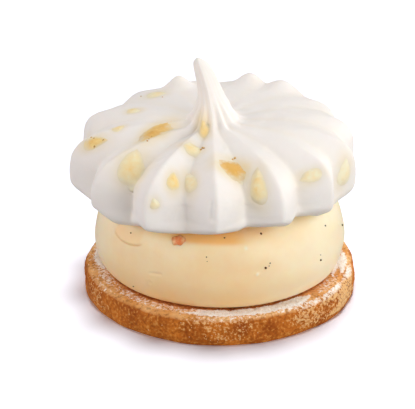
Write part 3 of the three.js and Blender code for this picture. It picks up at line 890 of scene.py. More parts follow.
# %% Slice tree: ragged outlines and sunk edges
def unevenness(tree, millimetres, amount):
    """An offset that differs from place to place, in features of that many millimetres."""
    where = add(tree, "GeometryNodeInputPosition")
    noise = add(tree, "ShaderNodeTexNoise", {"Vector": where, "Scale": per(millimetres)}).outputs["Color"]
    noise = add(tree, "ShaderNodeVectorMath", {0: noise, 1: (0.5, 0.5, 0.5)}, operation="SUBTRACT")
    return add(tree, "ShaderNodeVectorMath", {0: noise, "Scale": amount}, operation="SCALE")


ragged = add(tree, "ShaderNodeMath", {0: rim, 1: size["Ragged"]}, operation="MULTIPLY")
uneven = unevenness(tree, 3, ragged)
bed = add(tree, "GeometryNodeObjectInfo", {"Object": size["Rosette"]}).outputs["Geometry"]
nearest = add(tree, "GeometryNodeProximity", {"Geometry": bed}, target_element="FACES").outputs["Position"]
where = add(tree, "GeometryNodeInputPosition")
pull = add(tree, "ShaderNodeVectorMath", {0: nearest, 1: where}, operation="SUBTRACT")
tuck = {0: rim, 1: 0.1, 2: 0.8, 3: 0.0, 4: size["Tuck"]}
tuck = add(tree, "ShaderNodeMapRange", tuck, interpolation_type="SMOOTHSTEP")
pull = add(tree, "ShaderNodeVectorMath", {0: pull, "Scale": tuck}, operation="SCALE")
sunk = add(tree, "ShaderNodeMapRange", {0: rim, 1: 0.75, 2: 1.0})
sunk = add(tree, "ShaderNodeMath", {0: sunk, 1: size["Rim sink"]}, operation="MULTIPLY")
bed_facing = {"Mesh": bed, "Value": add(tree, "GeometryNodeInputNormal")}
bed_facing = add(tree, "GeometryNodeSampleNearestSurface", bed_facing, data_type="FLOAT_VECTOR")
under = add(tree, "ShaderNodeVectorMath", {0: bed_facing, "Scale": sunk}, operation="SCALE")
for offset in (uneven, pull, under):
    copies = add(tree, "GeometryNodeSetPosition", {"Geometry": copies, "Offset": offset})
close_tree(tree, copies, size["Material"])

almonds = grown("almond_flakes", spots, tree, slice_sizes)
bpy.data.objects.remove(one_slice)
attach(almonds, "root")
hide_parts("meringue")

# %% [markdown]
# Where a slice toasted darkest, crumbs of brown almond skin lie along its edge. They are tiny uneven grains,
# and vanilla seeds are too, so one tree serves for both: it puts a grain of the given size at each point.

# %% Grain tree
ANY_TURN = (2 * math.pi, 2 * math.pi, 2 * math.pi)  # the most that a grain is turned about each axis


def tumbled(tree, points, model, seed, scale):
    """Copies of a model at points, each turned at random."""
    turning = add(tree, "FunctionNodeRandomValue", {1: ANY_TURN, "Seed": seed}, data_type="FLOAT_VECTOR")
    lying = {"Points": points, "Instance": model, "Rotation": turning, "Scale": scale}
    return add(tree, "GeometryNodeInstanceOnPoints", lying)


grain_tree, size = open_tree("uneven grains", {"Uneven": 0.25 * MM, "Seed": 3, "Material": almond_finish})
grain = add(grain_tree, "GeometryNodeMeshIcoSphere", {"Radius": 0.5, "Subdivisions": 2})
points = add(grain_tree, "GeometryNodeMeshToPoints", {"Mesh": size["Geometry"]})
breadth = add(grain_tree, "GeometryNodeInputNamedAttribute", {"Name": "size"}, data_type="FLOAT")
copies = tumbled(grain_tree, points, grain, size["Seed"], breadth)
copies = add(grain_tree, "GeometryNodeRealizeInstances", {"Geometry": copies})
uneven = unevenness(grain_tree, 0.6, size["Uneven"])
copies = add(grain_tree, "GeometryNodeSetPosition", {"Geometry": copies, "Offset": uneven})
close_tree(grain_tree, copies, size["Material"])
print("grain nodes:", len(grain_tree.nodes))

# %% Crumbs of almond skin
skin_finish, nodes, shader = finish("browned almond skin", {"Roughness": 0.6, "IOR": 1.45})
speck = pattern(nodes, 0.5, 0.35, 0.65)
nodes.links.new(coats(nodes, "#b8813f", (speck, "#e2bd7c")), shader["Base Color"])

CRUMB_SIZE = 0.75  # makes all of them smaller or larger
CRUMBS = [  # bearing, along, size in mm
    (-56.1, 0.499, 0.8), (-58.5, 0.515, 0.6), (-61.6, 0.539, 0.8), (-63, 0.555, 0.6),
    (-64.9, 0.573, 0.7), (-70, 0.59, 0.6), (-74.4, 0.613, 0.7), (-81.7, 0.36, 0.9),
    (-81.5, 0.34, 0.7), (-80.4, 0.314, 0.9), (-83.2, 0.303, 0.8), (-84.5, 0.33, 0.7),
    (-86, 0.315, 0.6), (14.9, 0.484, 0.9), (13.2, 0.475, 0.7), (9.2, 0.445, 0.6),
    (-8.9, 0.569, 1.0), (-10, 0.56, 0.8), (-7.6, 0.565, 0.7), (-138.7, 0.385, 0.6),
    (-142.2, 0.485, 0.6), (-85.2, 0.43, 0.5),
]
crumb_points = [on_rosette(along, math.radians(bearing)) for bearing, along, _ in CRUMBS]
crumb_spots = mesh_object("crumb places", crumb_points)
write_attribute(crumb_spots, "size", [CRUMB_SIZE * size_mm * MM for _, _, size_mm in CRUMBS])
crumb_grains = {"Uneven": 0.5 * MM, "Seed": 5, "Material": skin_finish}
skin_crumbs = grown("almond_crumbs", crumb_spots, grain_tree, crumb_grains)
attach(skin_crumbs, "root")

# %% Oil round the slices
OIL_SPREAD = 1.35  # how far it spread, where 1 is the edge of the slice
OIL_DEPTH = 4.0  # mm above or below the slice
oily = np.zeros(len(rosette_points))
for (middle, lengthwise, outward), (_, _, length, width, _, toast) in zip(placed, slices):
    away = (rosette_points - middle) / MM
    sideways = np.cross(outward, lengthwise)
    across = 2 * np.hypot(away @ lengthwise / length, away @ sideways / width)
    soaked = np.exp(-((across / OIL_SPREAD) ** 3) - (away @ outward / OIL_DEPTH) ** 2)
    oily = np.maximum(oily, (0.5 + 0.5 * toast) * soaked)
write_attribute(rosette, "oily", oily)
print("oily points:", int((oily > 0.3).sum()))

# %% [markdown]
# ## Turned pieces
# The cream left a round mould and the biscuit a round baking ring, so both are an outline turned round the
# upright axis. A Screw modifier could do that, but here each ring of points may also be pushed in or out by a
# small rule of its own, such as a dent or a chip, so the points are worked out with arrays.

# %% Smooth outlines
RUN_POINTS = 24  # between two given points


def smooth_line(points, spacing):
    """A smooth line through points, with new points at an even spacing."""
    given = np.array(points, dtype=float)
    ends = np.vstack([given[:1], given, given[-1:]])
    step = np.linspace(0, 1, RUN_POINTS, endpoint=False)[:, None]
    runs = []
    for before, start, stop, after in zip(ends, ends[1:], ends[2:], ends[3:]):
        bend = 2 * before - 5 * start + 4 * stop - after
        twist = 3 * (start - stop) + after - before
        runs.append(start + 0.5 * step * (stop - before + step * (bend + step * twist)))
    line = np.vstack([*runs, given[-1:]])
    travelled = np.concatenate([[0], np.cumsum(np.linalg.norm(np.diff(line, axis=0), axis=1))])
    marks = np.linspace(0, travelled[-1], max(2, round(travelled[-1] / spacing) + 1))
    return np.column_stack([np.interp(marks, travelled, line[:, axis]) for axis in (0, 1)])


print("smooth line through 3 points:", len(smooth_line([(0, 0), (1, 1), (2, 0)], 0.5)), "points")


# %% Turning an outline
def round_axis(bearing, radius, height):
    """Points at those bearings, radii and heights, where bearing 0 is the front."""
    parts = (radius * np.sin(bearing), -radius * np.cos(bearing), height)
    return np.stack(np.broadcast_arrays(*parts), axis=-1)


def turned(name, outline, columns, moved):
    """A closed round piece from an outline of radii and heights in mm, from the underside to the top.
    moved gets the bearing, radius and height of every point, and returns the radius after its own changes."""
    bearing = np.linspace(-math.pi, math.pi, columns, endpoint=False)[None, :]
    radius, height = outline[:, :1], outline[:, 1:]
    points = round_axis(bearing, moved(bearing, radius, height), height).reshape(-1, 3)
    poles = [(0, 0, outline[0, 1]), (0, 0, outline[-1, 1])]
    rows = len(outline)
    bottom, top = rows * columns, rows * columns + 1
    faces = []
    for place in range(columns):
        after = (place + 1) % columns
        faces.append((bottom, after, place))
        for row in range(0, (rows - 1) * columns, columns):
            faces.append((row + place, row + after, row + columns + after, row + columns + place))
        last = (rows - 1) * columns
        faces.append((last + place, last + after, top))
    thing = mesh_object(name, np.vstack([points, poles]) * MM, faces=faces)
    thing.data.shade_smooth()
    return thing


def round_places(thing):
    """The bearing, radius and height of every point of a round piece, in radians and mm."""
    x, y, height = (read_attribute(thing, "position", "vector", 3) / MM).T
    return np.arctan2(x, -y), np.hypot(x, y), height


print("a point at the front:", round_axis(0, 1, 0))

# %% [markdown]
# ## The vanilla cream
# A set cream, smooth from its mould and satin rather than glossy, with a rounded belly. It is dense and
# pale, so light scatters inside it and turns deeper yellow on the way. A few marks tell that it is real: a
# thin flap at the left where the cream was handled, a scratch and some bubbles. Those go into the mesh. Two
# numbers on its points carry painted shade and painted light: a deeper orange painted under the meringue's
# edge, under the flap and towards the foot, where shade falls, and a paler colour painted on the sides where
# the lamps fall. They also hold the flap's yellower film and the pale bubbles.

# %% Cream finish
cream_finish, nodes, shader = finish("set vanilla cream", {
    "Roughness": 0.4,
    "IOR": 1.4,
    "Specular IOR Level": 0.5,
    "Subsurface Weight": 0.7,
    "Subsurface Radius": (1.0, 0.65, 0.35),
    "Subsurface Scale": 5.0 * MM,
})
place = add(nodes, "ShaderNodeTexCoord").outputs["Object"]
cloud = add(nodes, "ShaderNodeTexNoise", {"Vector": place, "Scale": per(8), "Detail": 4.0, "Roughness": 0.6})
cloud = add(nodes, "ShaderNodeMapRange", {0: cloud, 1: 0.35, 2: 0.65})
painted_shade_and_stain = add(nodes, "ShaderNodeAttribute", attribute_name="painted_shade_and_stain").outputs["Fac"]
painted_light_and_paler = add(nodes, "ShaderNodeAttribute", attribute_name="painted_light_and_paler").outputs["Fac"]
# the orange "#f4b968" is painted shade under the meringue, under the flap, at the foot and low down, with the
# flap's own tint; the pale "#fff6e2" is painted light on the sides where the lamps fall, with the pale
# bubbles
body = coats(nodes, "#fddcae", (cloud, "#fee4bd"), (painted_shade_and_stain, "#f4b968"), (painted_light_and_paler, "#fff6e2"))
nodes.links.new(body, shader["Base Color"])
skin = add(nodes, "ShaderNodeTexNoise", {"Vector": place, "Scale": per(1.2), "Detail": 3.0})
ripple = add(nodes, "ShaderNodeBump", {"Strength": 0.08, "Distance": 0.3 * MM, "Height": skin})
nodes.links.new(ripple.outputs["Normal"], shader["Normal"])
print("cream nodes:", len(nodes.nodes))

# %% Cream shape
CREAM_FLOOR = cream_low[2] / MM
CREAM_HEIGHT = (cream_high[2] - cream_low[2]) / MM
CREAM_RADIUS = (cream_high[0] - cream_low[0]) / 2 / MM
CREAM_BELLY_HEIGHT = 7.4
CREAM_FOOT_RADIUS = 30.6
CREAM_TOP_RADIUS = 25.0
CREAM_COLUMNS = 560
CREAM_SPACING = 0.28  # mm between rings on the side

cream_side = smooth_line([
    (CREAM_FOOT_RADIUS, 0),
    (CREAM_RADIUS - 1.4, 0.3 * CREAM_BELLY_HEIGHT),
    (CREAM_RADIUS, CREAM_BELLY_HEIGHT),
    (CREAM_RADIUS - 0.6, 0.55 * CREAM_HEIGHT),
    (CREAM_RADIUS - 2, 0.76 * CREAM_HEIGHT),
    (CREAM_RADIUS - 4.8, 0.92 * CREAM_HEIGHT),
    (CREAM_TOP_RADIUS, CREAM_HEIGHT),
], CREAM_SPACING)

print("points on the cream's side:", len(cream_side))

# %% Marks in the cream
SCRATCHES = [(-30.6, 9.9, 4.4, 8), (128, 13, 5, -12), (-150, 8, 3.5, 20)]  # bearing, height, length, slant
BUBBLE_RINGS = [(-33.2, 6.9, 0.9), (100, 9, 0.8), (-110, 13, 1.0), (170, 6, 0.7)]  # bearing, height, radius
BUBBLES = [(12, 18.6, 0.5), (16.5, 11.5, 0.45), (75, 15, 0.5), (140, 10, 0.5), (-140, 12, 0.45)]
SCRATCH_DEPTH = 0.3
RING_HEIGHT = 0.16
BUBBLE_HEIGHT = 0.22
LINE_WIDTH = 0.3  # mm, of scratches and of the rings that burst bubbles left
FLAP_BEARING = -50
FLAP_HEIGHT = 15.4  # mm above the biscuit, of the middle of its lower edge
FLAP_BEND = 0.012  # mm by which that edge rises for each degree beside the middle, squared
FLAP_LIFT = 0.4
FLAP_REACH = (-0.25, 0.25, 0, 4)  # mm above its lower edge: it starts, is full, fades and ends
FLAP_SIDES = (7, 12)  # degrees beside the middle, between which it ends
EDGE_BAND = 1.5  # mm at the foot and at the top over which the marks fade


def from_flap(bearing, above):
    """How many degrees places are beside the flap's middle, and how many mm above its lower edge."""
    aside = apart(bearing, FLAP_BEARING)
    return aside, above - (FLAP_HEIGHT + FLAP_BEND * aside ** 2)


def from_mark(bearing, above, middle, level):
    """How many mm places on the cream's side are away from a mark."""
    return np.hypot(np.radians(apart(bearing, middle)) * CREAM_RADIUS, above - level)


def mould_marks(bearing, radius, height):
    """The cream's radius with its slow unevenness, its flap, scratches and bubbles."""
    above = height - CREAM_FLOOR
    change = 0.16 * np.sin(3 * bearing + 0.4) + 0.1 * np.sin(7 * bearing + 0.3 * above)
    aside, over_edge = from_flap(bearing, above)
    change = change + FLAP_LIFT * between(over_edge, *FLAP_REACH) * (1 - steps(np.abs(aside), *FLAP_SIDES))
    for middle, level, length, slant in SCRATCHES:
        across = np.radians(apart(bearing, middle)) * CREAM_RADIUS
        off = above - level - across * math.tan(math.radians(slant))
        inside = 1 - steps(np.abs(across), 0.35 * length, 0.5 * length)
        change = change - SCRATCH_DEPTH * inside * np.exp(-((off / LINE_WIDTH) ** 2))
    for middle, level, size_mm in BUBBLE_RINGS:
        off = from_mark(bearing, above, middle, level) - size_mm
        change = change + RING_HEIGHT * np.exp(-((off / LINE_WIDTH) ** 2))
    for middle, level, size_mm in BUBBLES:
        off = from_mark(bearing, above, middle, level)
        change = change + BUBBLE_HEIGHT * np.exp(-((off / size_mm) ** 2))
    return radius + change * between(above, 0, EDGE_BAND, CREAM_HEIGHT - EDGE_BAND, CREAM_HEIGHT)


inner = np.linspace(0.15, 0.95, 6)[:, None]
cream_outline = np.vstack([
    inner * cream_side[0] * (1, 0),
    cream_side,
    inner[::-1] * (CREAM_TOP_RADIUS, 0) + (0, CREAM_HEIGHT),
]) + (0, CREAM_FLOOR)
cream = turned("cream_puck", cream_outline, CREAM_COLUMNS, mould_marks)
cream.data.materials.append(cream_finish)
print("cream rings:", len(cream_outline), "belly radius", round(CREAM_RADIUS, 1), "mm")

# %% Painted shade and painted light on the cream
FRONT_SHADE_BEARINGS = (-29, -22, 4, 20)  # degrees: the painted shade under the meringue's front edge starts, is full, fades and ends
FRONT_SHADE_HEIGHTS = (18.8, 20.2)  # mm above the biscuit, between which it deepens
SHADE_HEIGHTS = (18.5, 21.5)  # the same for the painted shade all along the meringue's edge
FLAP_FOLD = 0.25  # mm below the flap's edge, where a thin line of shade lies
FLAP_FOLD_WIDTH = 0.22

cream_bearing, _, cream_height = round_places(cream)
above = cream_height - CREAM_FLOOR
degrees = np.degrees(cream_bearing)
aside, over_edge = from_flap(cream_bearing, above)
on_flap = 1 - steps(np.abs(aside), 8, 11)
painted_shades_and_stains = {
    # painted shade: a deeper orange under the meringue's front edge
    "painted shade under the front edge": 0.85 * between(degrees, *FRONT_SHADE_BEARINGS) * steps(above, *FRONT_SHADE_HEIGHTS),
    # painted shade: a deeper yellow all round under the meringue's overhang
    "painted shade under the meringue": 0.35 * steps(above, *SHADE_HEIGHTS) * (1 - 0.8 * steps(degrees, 15, 32)),
    "flap": 0.3 * on_flap * between(over_edge, -0.2, 0.2, 2.5, 4.5),
    # painted shade: a thin line under the flap's edge
    "painted shade under the flap": 0.6 * on_flap * np.exp(-(((over_edge + FLAP_FOLD) / FLAP_FOLD_WIDTH) ** 2)),
    # painted shade and the biscuit's reflected brown at the cream's foot
    "foot": 1 - steps(above, 0.2, 2.4),
    # painted shade and bounce from the biscuit: darker towards the bottom, weaker on the right where the
    # lamps fall
    "painted shade low down": 0.4 * (1 - steps(above, 1, 17)) * (1 - 0.6 * steps(degrees, 10, 50)),
}
painted_light_and_pale_places = {
    # painted light and sheen: the right and the left sides, where the lamps fall, are painted paler; the
    # bubbles keep their own paleness
    "right": 0.35 * between(degrees, 5, 50, 100, 150),
    "left": 0.35 * steps(-degrees, 50, 72),
}
for middle, level, size_mm in BUBBLES:
    off = from_mark(cream_bearing, above, middle, level)
    painted_light_and_pale_places[f"bubble at {middle}"] = 0.8 * np.exp(-((off / size_mm) ** 2))
write_attribute(cream, "painted_shade_and_stain", np.max(list(painted_shades_and_stains.values()), axis=0))
write_attribute(cream, "painted_light_and_paler", np.max(list(painted_light_and_pale_places.values()), axis=0))
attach(cream, "root")
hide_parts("cream")
print("stains:", ", ".join(painted_shades_and_stains))

# %% [markdown]
# ## Jam
# At the front a little fruit jam has oozed out between the meringue and the cream. It is a flat drop, so it
# is the same closed lens as an almond slice, bent onto the side of the cream.

# %% Jam finish
jam_finish, nodes, shader = finish("fruit jam", {
    "Roughness": 0.3,
    "IOR": 1.4,
    "Subsurface Weight": 0.3,
    "Subsurface Radius": (1.0, 0.4, 0.2),
    "Subsurface Scale": 1.0 * MM,
})
pulp = pattern(nodes, 1.5, 0.4, 0.6)
nodes.links.new(coats(nodes, "#ee8a52", (pulp, "#f5ba86")), shader["Base Color"])
print("jam nodes:", len(nodes.nodes))

# %% Jam dab
DAB_BEARING = -21
DAB_HEIGHT = 19.7  # mm above the biscuit, like the sizes
DAB_WIDTH = 3.8
DAB_TALL = 2.6
DAB_THICKNESS = 0.8
DAB_SEGMENTS = 24


def on_cream(bearing, above, out=0):
    """Points in mm on the side of the cream at heights above the biscuit, or so far out from it."""
    height = above + CREAM_FLOOR
    side_radius = np.interp(above, cream_side[:, 1], cream_side[:, 0])
    return round_axis(bearing, mould_marks(bearing, side_radius, height) + out, height)


turn = np.linspace(0, 2 * math.pi, DAB_SEGMENTS, endpoint=False)
drop_radius = 0.5 + 0.08 * np.sin(2 * turn + 1) + 0.05 * np.sin(5 * turn)
dab = closed_lens("jam_dab", np.column_stack([drop_radius * np.cos(turn), drop_radius * np.sin(turn)]))
flat_x, flat_y, flat_z = read_attribute(dab, "position", "vector", 3).T
turn = math.radians(DAB_BEARING) + DAB_WIDTH * flat_x / CREAM_RADIUS
dab_points = on_cream(turn, DAB_HEIGHT + DAB_TALL * flat_y, DAB_THICKNESS * flat_z)
dab.data.vertices.foreach_set("co", (dab_points * MM).ravel())
dab.data.update()
dab.data.shade_smooth()
dab.data.materials.append(jam_finish)
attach(dab, "root")
print("jam dab:", len(dab.data.polygons), "faces")

# %% [markdown]
# ## Vanilla seeds
# The dark specks are the seeds from a vanilla pod, a few tenths of a millimetre across, some in little
# clumps. Those that the picture shows are listed, and more are drawn round the back with a fixed seed. The
# tree for uneven grains puts one at each of them, half sunk in the cream.

# %% Seed finish
seed_finish, nodes, shader = finish("vanilla seed", {"Roughness": 0.45, "IOR": 1.45})
place = add(nodes, "ShaderNodeTexCoord").outputs["Object"]
speck = add(nodes, "ShaderNodeTexNoise", {"Vector": place, "Scale": per(0.3)})
nodes.links.new(coats(nodes, "#33200f", (speck, "#6e4a26")), shader["Base Color"])
print("seed nodes:", len(nodes.nodes))

# %% Seed places
SEED_SIZE = 0.8  # makes all of them smaller or larger
SEEDS = [  # bearing, height above the biscuit, size in mm
    (20.5, 12.9, 0.95), (22.8, 14.0, 0.5), (22.2, 13.3, 0.35), (51.5, 10.0, 0.8),
    (52.0, 11.4, 0.35), (-6.5, 16.5, 0.5), (-6.1, 15.4, 0.3), (21.0, 21.2, 0.8), (60.8, 17.7, 0.65),
    (-44.0, 3.4, 0.6), (-48.2, 18.2, 0.6), (2.0, 21.0, 0.55),
]
HIDDEN_SEEDS = 16
random = np.random.default_rng(7)
back = np.column_stack([
    random.uniform(80, 280, HIDDEN_SEEDS),
    random.uniform(3, 19, HIDDEN_SEEDS),
    random.uniform(0.35, 0.9, HIDDEN_SEEDS),
])
seeds = np.vstack([SEEDS, back])
seed_points = on_cream(np.radians(seeds[:, 0]), seeds[:, 1])
seed_spots = mesh_object("seed places", seed_points * MM)
write_attribute(seed_spots, "size", SEED_SIZE * seeds[:, 2] * MM)
print("seeds:", len(seeds))

# %% Seed grains
seed_sizes = {"Uneven": 0.25 * MM, "Seed": 3, "Material": seed_finish}
seed_piece = grown("vanilla_seeds", seed_spots, grain_tree, seed_sizes)
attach(seed_piece, "root")

# %% [markdown]
# ## The shortbread biscuit
# Baked in a ring, so its side is upright and its lower edge rounded: golden where the top lies open, deeper
# brown on the side. Its dough is coarse, and sugar was sifted over it before the cream was set down. The
# number "sugar" on its points says where sugar lies, another one where shade is painted on the top round the
# cream's foot, and a node tree raises the crumb.

# %% Biscuit finish
SIDE_END, TOP_START = 6.9 * MM, 7.7 * MM  # heights between which the brown side becomes the golden top
biscuit_finish, nodes, shader = finish("baked shortbread", {
    "Roughness": 0.75,
    "IOR": 1.45,
    "Specular IOR Level": 0.25,
})
place = add(nodes, "ShaderNodeTexCoord").outputs["Object"]
height = add(nodes, "ShaderNodeSeparateXYZ", {0: place}).outputs["Z"]
patch = pattern(nodes, 7, 0.35, 0.65, detail=3.0)
crumb = pattern(nodes, 0.8, 0.35, 0.65, detail=4.0)
dust = add(nodes, "ShaderNodeTexNoise", {"Vector": place, "Scale": per(0.8), "Detail": 2.0, "Roughness": 0.7})
sugar = add(nodes, "ShaderNodeAttribute", attribute_name="sugar").outputs["Fac"]
contact_shade = add(nodes, "ShaderNodeAttribute", attribute_name="contact_shade").outputs["Fac"]
upper = add(nodes, "ShaderNodeMapRange", {0: height, 1: SIDE_END, 2: TOP_START})
burnt = add(nodes, "ShaderNodeMapRange", {0: crumb, 1: 0.4, 2: 0.0, 3: 0.0, 4: 0.5})
golden = add(nodes, "ShaderNodeMapRange", {0: crumb, 1: 0.6, 2: 1.0, 3: 0.0, 4: 0.45})
cover = add(nodes, "ShaderNodeMath", {0: sugar, 1: 0.7, 2: dust}, operation="MULTIPLY_ADD")
cover = add(nodes, "ShaderNodeMapRange", {0: cover, 1: 0.82, 2: 0.98})
side = coats(nodes, "#c8701f", (patch, "#a04e0a"))
top = coats(nodes, "#f8c78a", (patch, "#e09a50"))
# the dark brown layer "#a85c24" is painted shade on the top round the cream's foot
crust = coats(nodes, side, (upper, top), (contact_shade, "#a85c24"), (burnt, "#7a3a0a"), (golden, "#e8a654"))
powder = coats(nodes, "#e8b87c", (upper, "#fffaf6"))
nodes.links.new(coats(nodes, crust, (cover, powder)), shader["Base Color"])
rough = add(nodes, "ShaderNodeBump", {"Strength": 0.4, "Distance": 0.25 * MM, "Height": crumb})
nodes.links.new(rough.outputs["Normal"], shader["Normal"])
print("biscuit nodes:", len(nodes.nodes))

# %% Biscuit shape
biscuit_low, biscuit_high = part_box("biscuit")
BISCUIT_RADIUS = 38.0
BISCUIT_HEIGHT = (biscuit_high[2] - biscuit_low[2]) / MM
FOOT_INSET = 0.5
RIM_INSET = 1.9
CRAG_DEPTH = 0.35
CRAGS = [(0.45, 5, 1.7, 0.21), (0.33, 11, -2.3, -0.55), (0.22, 23, 0.9, 0.9)]  # share, count, start, slant
CHIP_BEARING = 68
CHIP_SPREAD = 7
CHIP_DEPTH = 1.6
BISCUIT_COLUMNS = 760
BISCUIT_SPACING = 0.3

biscuit_side = smooth_line([
    (BISCUIT_RADIUS - FOOT_INSET, 0),
    (BISCUIT_RADIUS - 0.3 * FOOT_INSET, 0.14 * BISCUIT_HEIGHT),
    (BISCUIT_RADIUS, 0.34 * BISCUIT_HEIGHT),
    (BISCUIT_RADIUS, 0.6 * BISCUIT_HEIGHT),
    (BISCUIT_RADIUS - 0.12 * RIM_INSET, 0.82 * BISCUIT_HEIGHT),
    (BISCUIT_RADIUS - 0.45 * RIM_INSET, 0.95 * BISCUIT_HEIGHT),
    (BISCUIT_RADIUS - RIM_INSET, BISCUIT_HEIGHT),
], BISCUIT_SPACING)


def crags(bearing, radius, height):
    """The biscuit's radius with its slow crags and the chip in its rim."""
    waves = [share * np.sin(count * bearing + start + slant * height) for share, count, start, slant in CRAGS]
    away = np.abs(apart(bearing, CHIP_BEARING)) / CHIP_SPREAD
    chip = CHIP_DEPTH * (height / BISCUIT_HEIGHT) ** 2 * (1 - steps(away, 0, 1))
    outer = steps(radius, 0.75 * BISCUIT_RADIUS, 0.95 * BISCUIT_RADIUS)
    return radius + (CRAG_DEPTH * sum(waves) - chip) * outer


open_top = np.arange(BISCUIT_RADIUS - RIM_INSET - BISCUIT_SPACING, CREAM_FOOT_RADIUS - 2, -BISCUIT_SPACING)
under_cream = np.linspace(CREAM_FOOT_RADIUS - 4, 4, 6)
top_radii = np.concatenate([open_top, under_cream])
foot_radii = np.linspace(4, BISCUIT_RADIUS - FOOT_INSET - 1, 8)
biscuit_outline = np.vstack([
    np.column_stack([foot_radii, np.zeros_like(foot_radii)]),
    biscuit_side,
    np.column_stack([top_radii, np.full_like(top_radii, BISCUIT_HEIGHT)]),
])
biscuit_base = turned("biscuit base", biscuit_outline, BISCUIT_COLUMNS, crags)
print("biscuit rings:", len(biscuit_outline))

# %% Where the sugar lies
SUGAR_START = (31.7, 32.5)  # mm from the axis, just beside the cream, between which the sugar begins
TOP_EDGE = (7.2, 7.6)  # mm up, between which the side's sugar gives way to the top's
RIM_EDGE = (34.6, 36.2)  # mm from the axis, between which it thins out towards the rim
RIM_THINNER = 0.6  # by this share
SIDE_RADIUS = 36  # mm, outside of which the side's sugar lies
SIDE_FOOT = (0.4, 2)  # mm up, between which that begins
DUST_FOOT = (0.5, 2)  # the same for a thin dusting all round
DUST_AMOUNT = 0.18
CONTACT_SHADE_EDGE = (31.5, 32.5)  # mm from the axis, between which the painted shade round the cream's foot ends
CONTACT_SHADE_SKIN = 0.2  # mm below the top, down to which it is painted
CONTACT_SHADE_AMOUNT = 0.9
PATCH_WAVER = math.radians(3)  # how far the edges of the patches sway
PATCH_FULL, PATCH_END = 0.4, 1.35  # shares of its half width at which a patch starts to fade, and ends
RIM_SUGAR = [  # bearing, half width in degrees, amount
    (12, 32, 1.1), (33, 13, 1.35), (-38, 32, 0.48), (-72, 14, 0.54), (-93, 14, 0.95), (62, 10, 0.5),
    (84, 13, 0.95), (122, 24, 0.55), (178, 30, 0.9), (-132, 24, 0.6),
]
SIDE_SUGAR = [
    (2, 20, 0.44), (40, 14, 0.54), (66, 20, 0.66), (-64, 14, 0.42), (110, 18, 0.34),
    (170, 14, 0.38), (-120, 20, 0.34),
]


def patches(bearing, spots_list):
    """The largest amount that any of the listed patches gives at each bearing."""
    amount = np.zeros_like(bearing)
    for middle, half_width, most in spots_list:
        inside = 1 - steps(np.abs(apart(bearing, middle)), PATCH_FULL * half_width, PATCH_END * half_width)
        amount = np.maximum(amount, most * inside)
    return amount


bearing, radius, height = round_places(biscuit_base)
waver = np.sin(2.3 * radius + 11 * bearing) + np.sin(1.1 * height - 7 * bearing)
uneven = bearing + PATCH_WAVER * waver
rim_band = steps(radius, *SUGAR_START) * steps(height, *TOP_EDGE) * patches(uneven, RIM_SUGAR)
rim_band *= 1 - RIM_THINNER * steps(radius, *RIM_EDGE)
side_band = steps(height, *SIDE_FOOT) * (radius > SIDE_RADIUS) * patches(uneven, SIDE_SUGAR)
dusting = DUST_AMOUNT * steps(height, *DUST_FOOT)
write_attribute(biscuit_base, "sugar", np.max([rim_band, side_band, dusting], axis=0))
# painted shade on the top, in a ring round the cream's foot
on_top = steps(height, BISCUIT_HEIGHT - CONTACT_SHADE_SKIN, BISCUIT_HEIGHT)
write_attribute(biscuit_base, "contact_shade", CONTACT_SHADE_AMOUNT * on_top * (1 - steps(radius, *CONTACT_SHADE_EDGE)))
print("sugared points:", int((rim_band > 0.5).sum()))

# %% Crumb tree
crumb_sizes = {
    "Crumb size": 1.1 * MM,
    "Crumb height": 0.45 * MM,
    "Pit size": 2.6 * MM,
    "Pit depth": 0.35 * MM,
    "Powder": 0.2 * MM,
    "Flat foot": 0.8 * MM,
    "Material": biscuit_finish,
}
tree, size = open_tree("baked crumb", crumb_sizes)
where = add(tree, "GeometryNodeInputPosition")
crumb_scale = add(tree, "ShaderNodeMath", {0: 1.0, 1: size["Crumb size"]}, operation="DIVIDE")
crumbs = swing(tree, where, crumb_scale, 3.0, size["Crumb height"])
pit_scale = add(tree, "ShaderNodeMath", {0: 1.0, 1: size["Pit size"]}, operation="DIVIDE")
pits = add(tree, "ShaderNodeTexVoronoi", {"Vector": where, "Scale": pit_scale}, feature="SMOOTH_F1")
pits = add(tree, "ShaderNodeMapRange", {0: pits, 1: 0.0, 2: 0.4, 3: -1.0, 4: 0.0})
relief = add(tree, "ShaderNodeMath", {0: pits, 1: size["Pit depth"], 2: crumbs}, operation="MULTIPLY_ADD")
sugar = add(tree, "GeometryNodeInputNamedAttribute", {"Name": "sugar"}, data_type="FLOAT")
relief = add(tree, "ShaderNodeMath", {0: sugar, 1: size["Powder"], 2: relief}, operation="MULTIPLY_ADD")
level = add(tree, "ShaderNodeSeparateXYZ", {0: where}).outputs["Z"]
clear = add(tree, "ShaderNodeMapRange", {0: level, 1: 0.1 * MM, 2: size["Flat foot"]})
relief = add(tree, "ShaderNodeMath", {0: relief, 1: clear}, operation="MULTIPLY")
close_tree(tree, raised(tree, size["Geometry"], relief), size["Material"])
biscuit = grown("shortbread_biscuit", biscuit_base, tree, crumb_sizes)
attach(biscuit, "root")
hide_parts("biscuit")

# %% [markdown]
# ## Sugar grains
# Caster sugar lies as loose grains where the powder is thick. Thousands of them could be a particle system,
# but an export drops particles. A node tree scatters points over the biscuit, densest where the number
# "sugar" is high, and puts a small uneven crystal at each, which becomes real mesh.

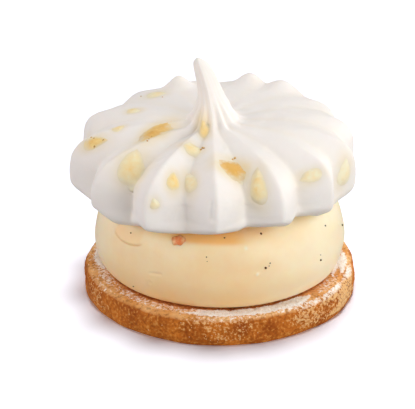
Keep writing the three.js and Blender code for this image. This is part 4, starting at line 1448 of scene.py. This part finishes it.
# %% Sugar finish
sugar_finish, nodes, shader = finish("caster sugar", {
    "Roughness": 0.35,
    "IOR": 1.54,
    "Subsurface Weight": 0.4,
    "Subsurface Radius": (1.0, 0.95, 0.9),
    "Subsurface Scale": 0.3 * MM,
})
place = add(nodes, "ShaderNodeTexCoord").outputs["Object"]
tone = pattern(nodes, 1.0, 0.3, 0.7)
height = add(nodes, "ShaderNodeSeparateXYZ", {0: place}).outputs["Z"]
upper = add(nodes, "ShaderNodeMapRange", {0: height, 1: SIDE_END, 2: TOP_START})
white = coats(nodes, "#f1dcc4", (tone, "#fffaf2"))
nodes.links.new(coats(nodes, "#e2b684", (upper, white)), shader["Base Color"])
print("sugar nodes:", len(nodes.nodes))

# %% Sugar tree
sugar_sizes = {
    "Biscuit": biscuit,
    "Grains per square metre": 5.5e6,
    "Crowding": 3.6,  # how strongly the grains keep to where the powder is thick
    "Grain size": 0.36 * MM,
    "Seed": 12,
    "Material": sugar_finish,
}
SMALLEST, LARGEST = (0.5, 0.6, 0.5), (1.2, 1.3, 1.1)  # how far a crystal is stretched along its axes
tree, size = open_tree("sugar grains", sugar_sizes)
bed = add(tree, "GeometryNodeObjectInfo", {"Object": size["Biscuit"]}).outputs["Geometry"]
sugar = add(tree, "GeometryNodeInputNamedAttribute", {"Name": "sugar"}, data_type="FLOAT")
crowd = add(tree, "ShaderNodeMath", {0: sugar, 1: size["Crowding"]}, operation="POWER")
crowd = add(tree, "ShaderNodeMath", {0: crowd, 1: size["Grains per square metre"]}, operation="MULTIPLY")
scatter = {"Mesh": bed, "Density": crowd, "Seed": size["Seed"]}
points = add(tree, "GeometryNodeDistributePointsOnFaces", scatter, distribute_method="RANDOM")
crystal = add(tree, "GeometryNodeMeshIcoSphere", {"Radius": 0.5, "Subdivisions": 1})
stretch = {0: SMALLEST, 1: LARGEST, "Seed": size["Seed"]}
stretch = add(tree, "FunctionNodeRandomValue", stretch, data_type="FLOAT_VECTOR")
stretch = add(tree, "ShaderNodeVectorMath", {0: stretch, "Scale": size["Grain size"]}, operation="SCALE")
close_tree(tree, tumbled(tree, points, crystal, size["Seed"], stretch), size["Material"])
grains = grown("sugar_grains", mesh_object("sugar base", [(0, 0, 0)]), tree, sugar_sizes)
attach(grains, "root")
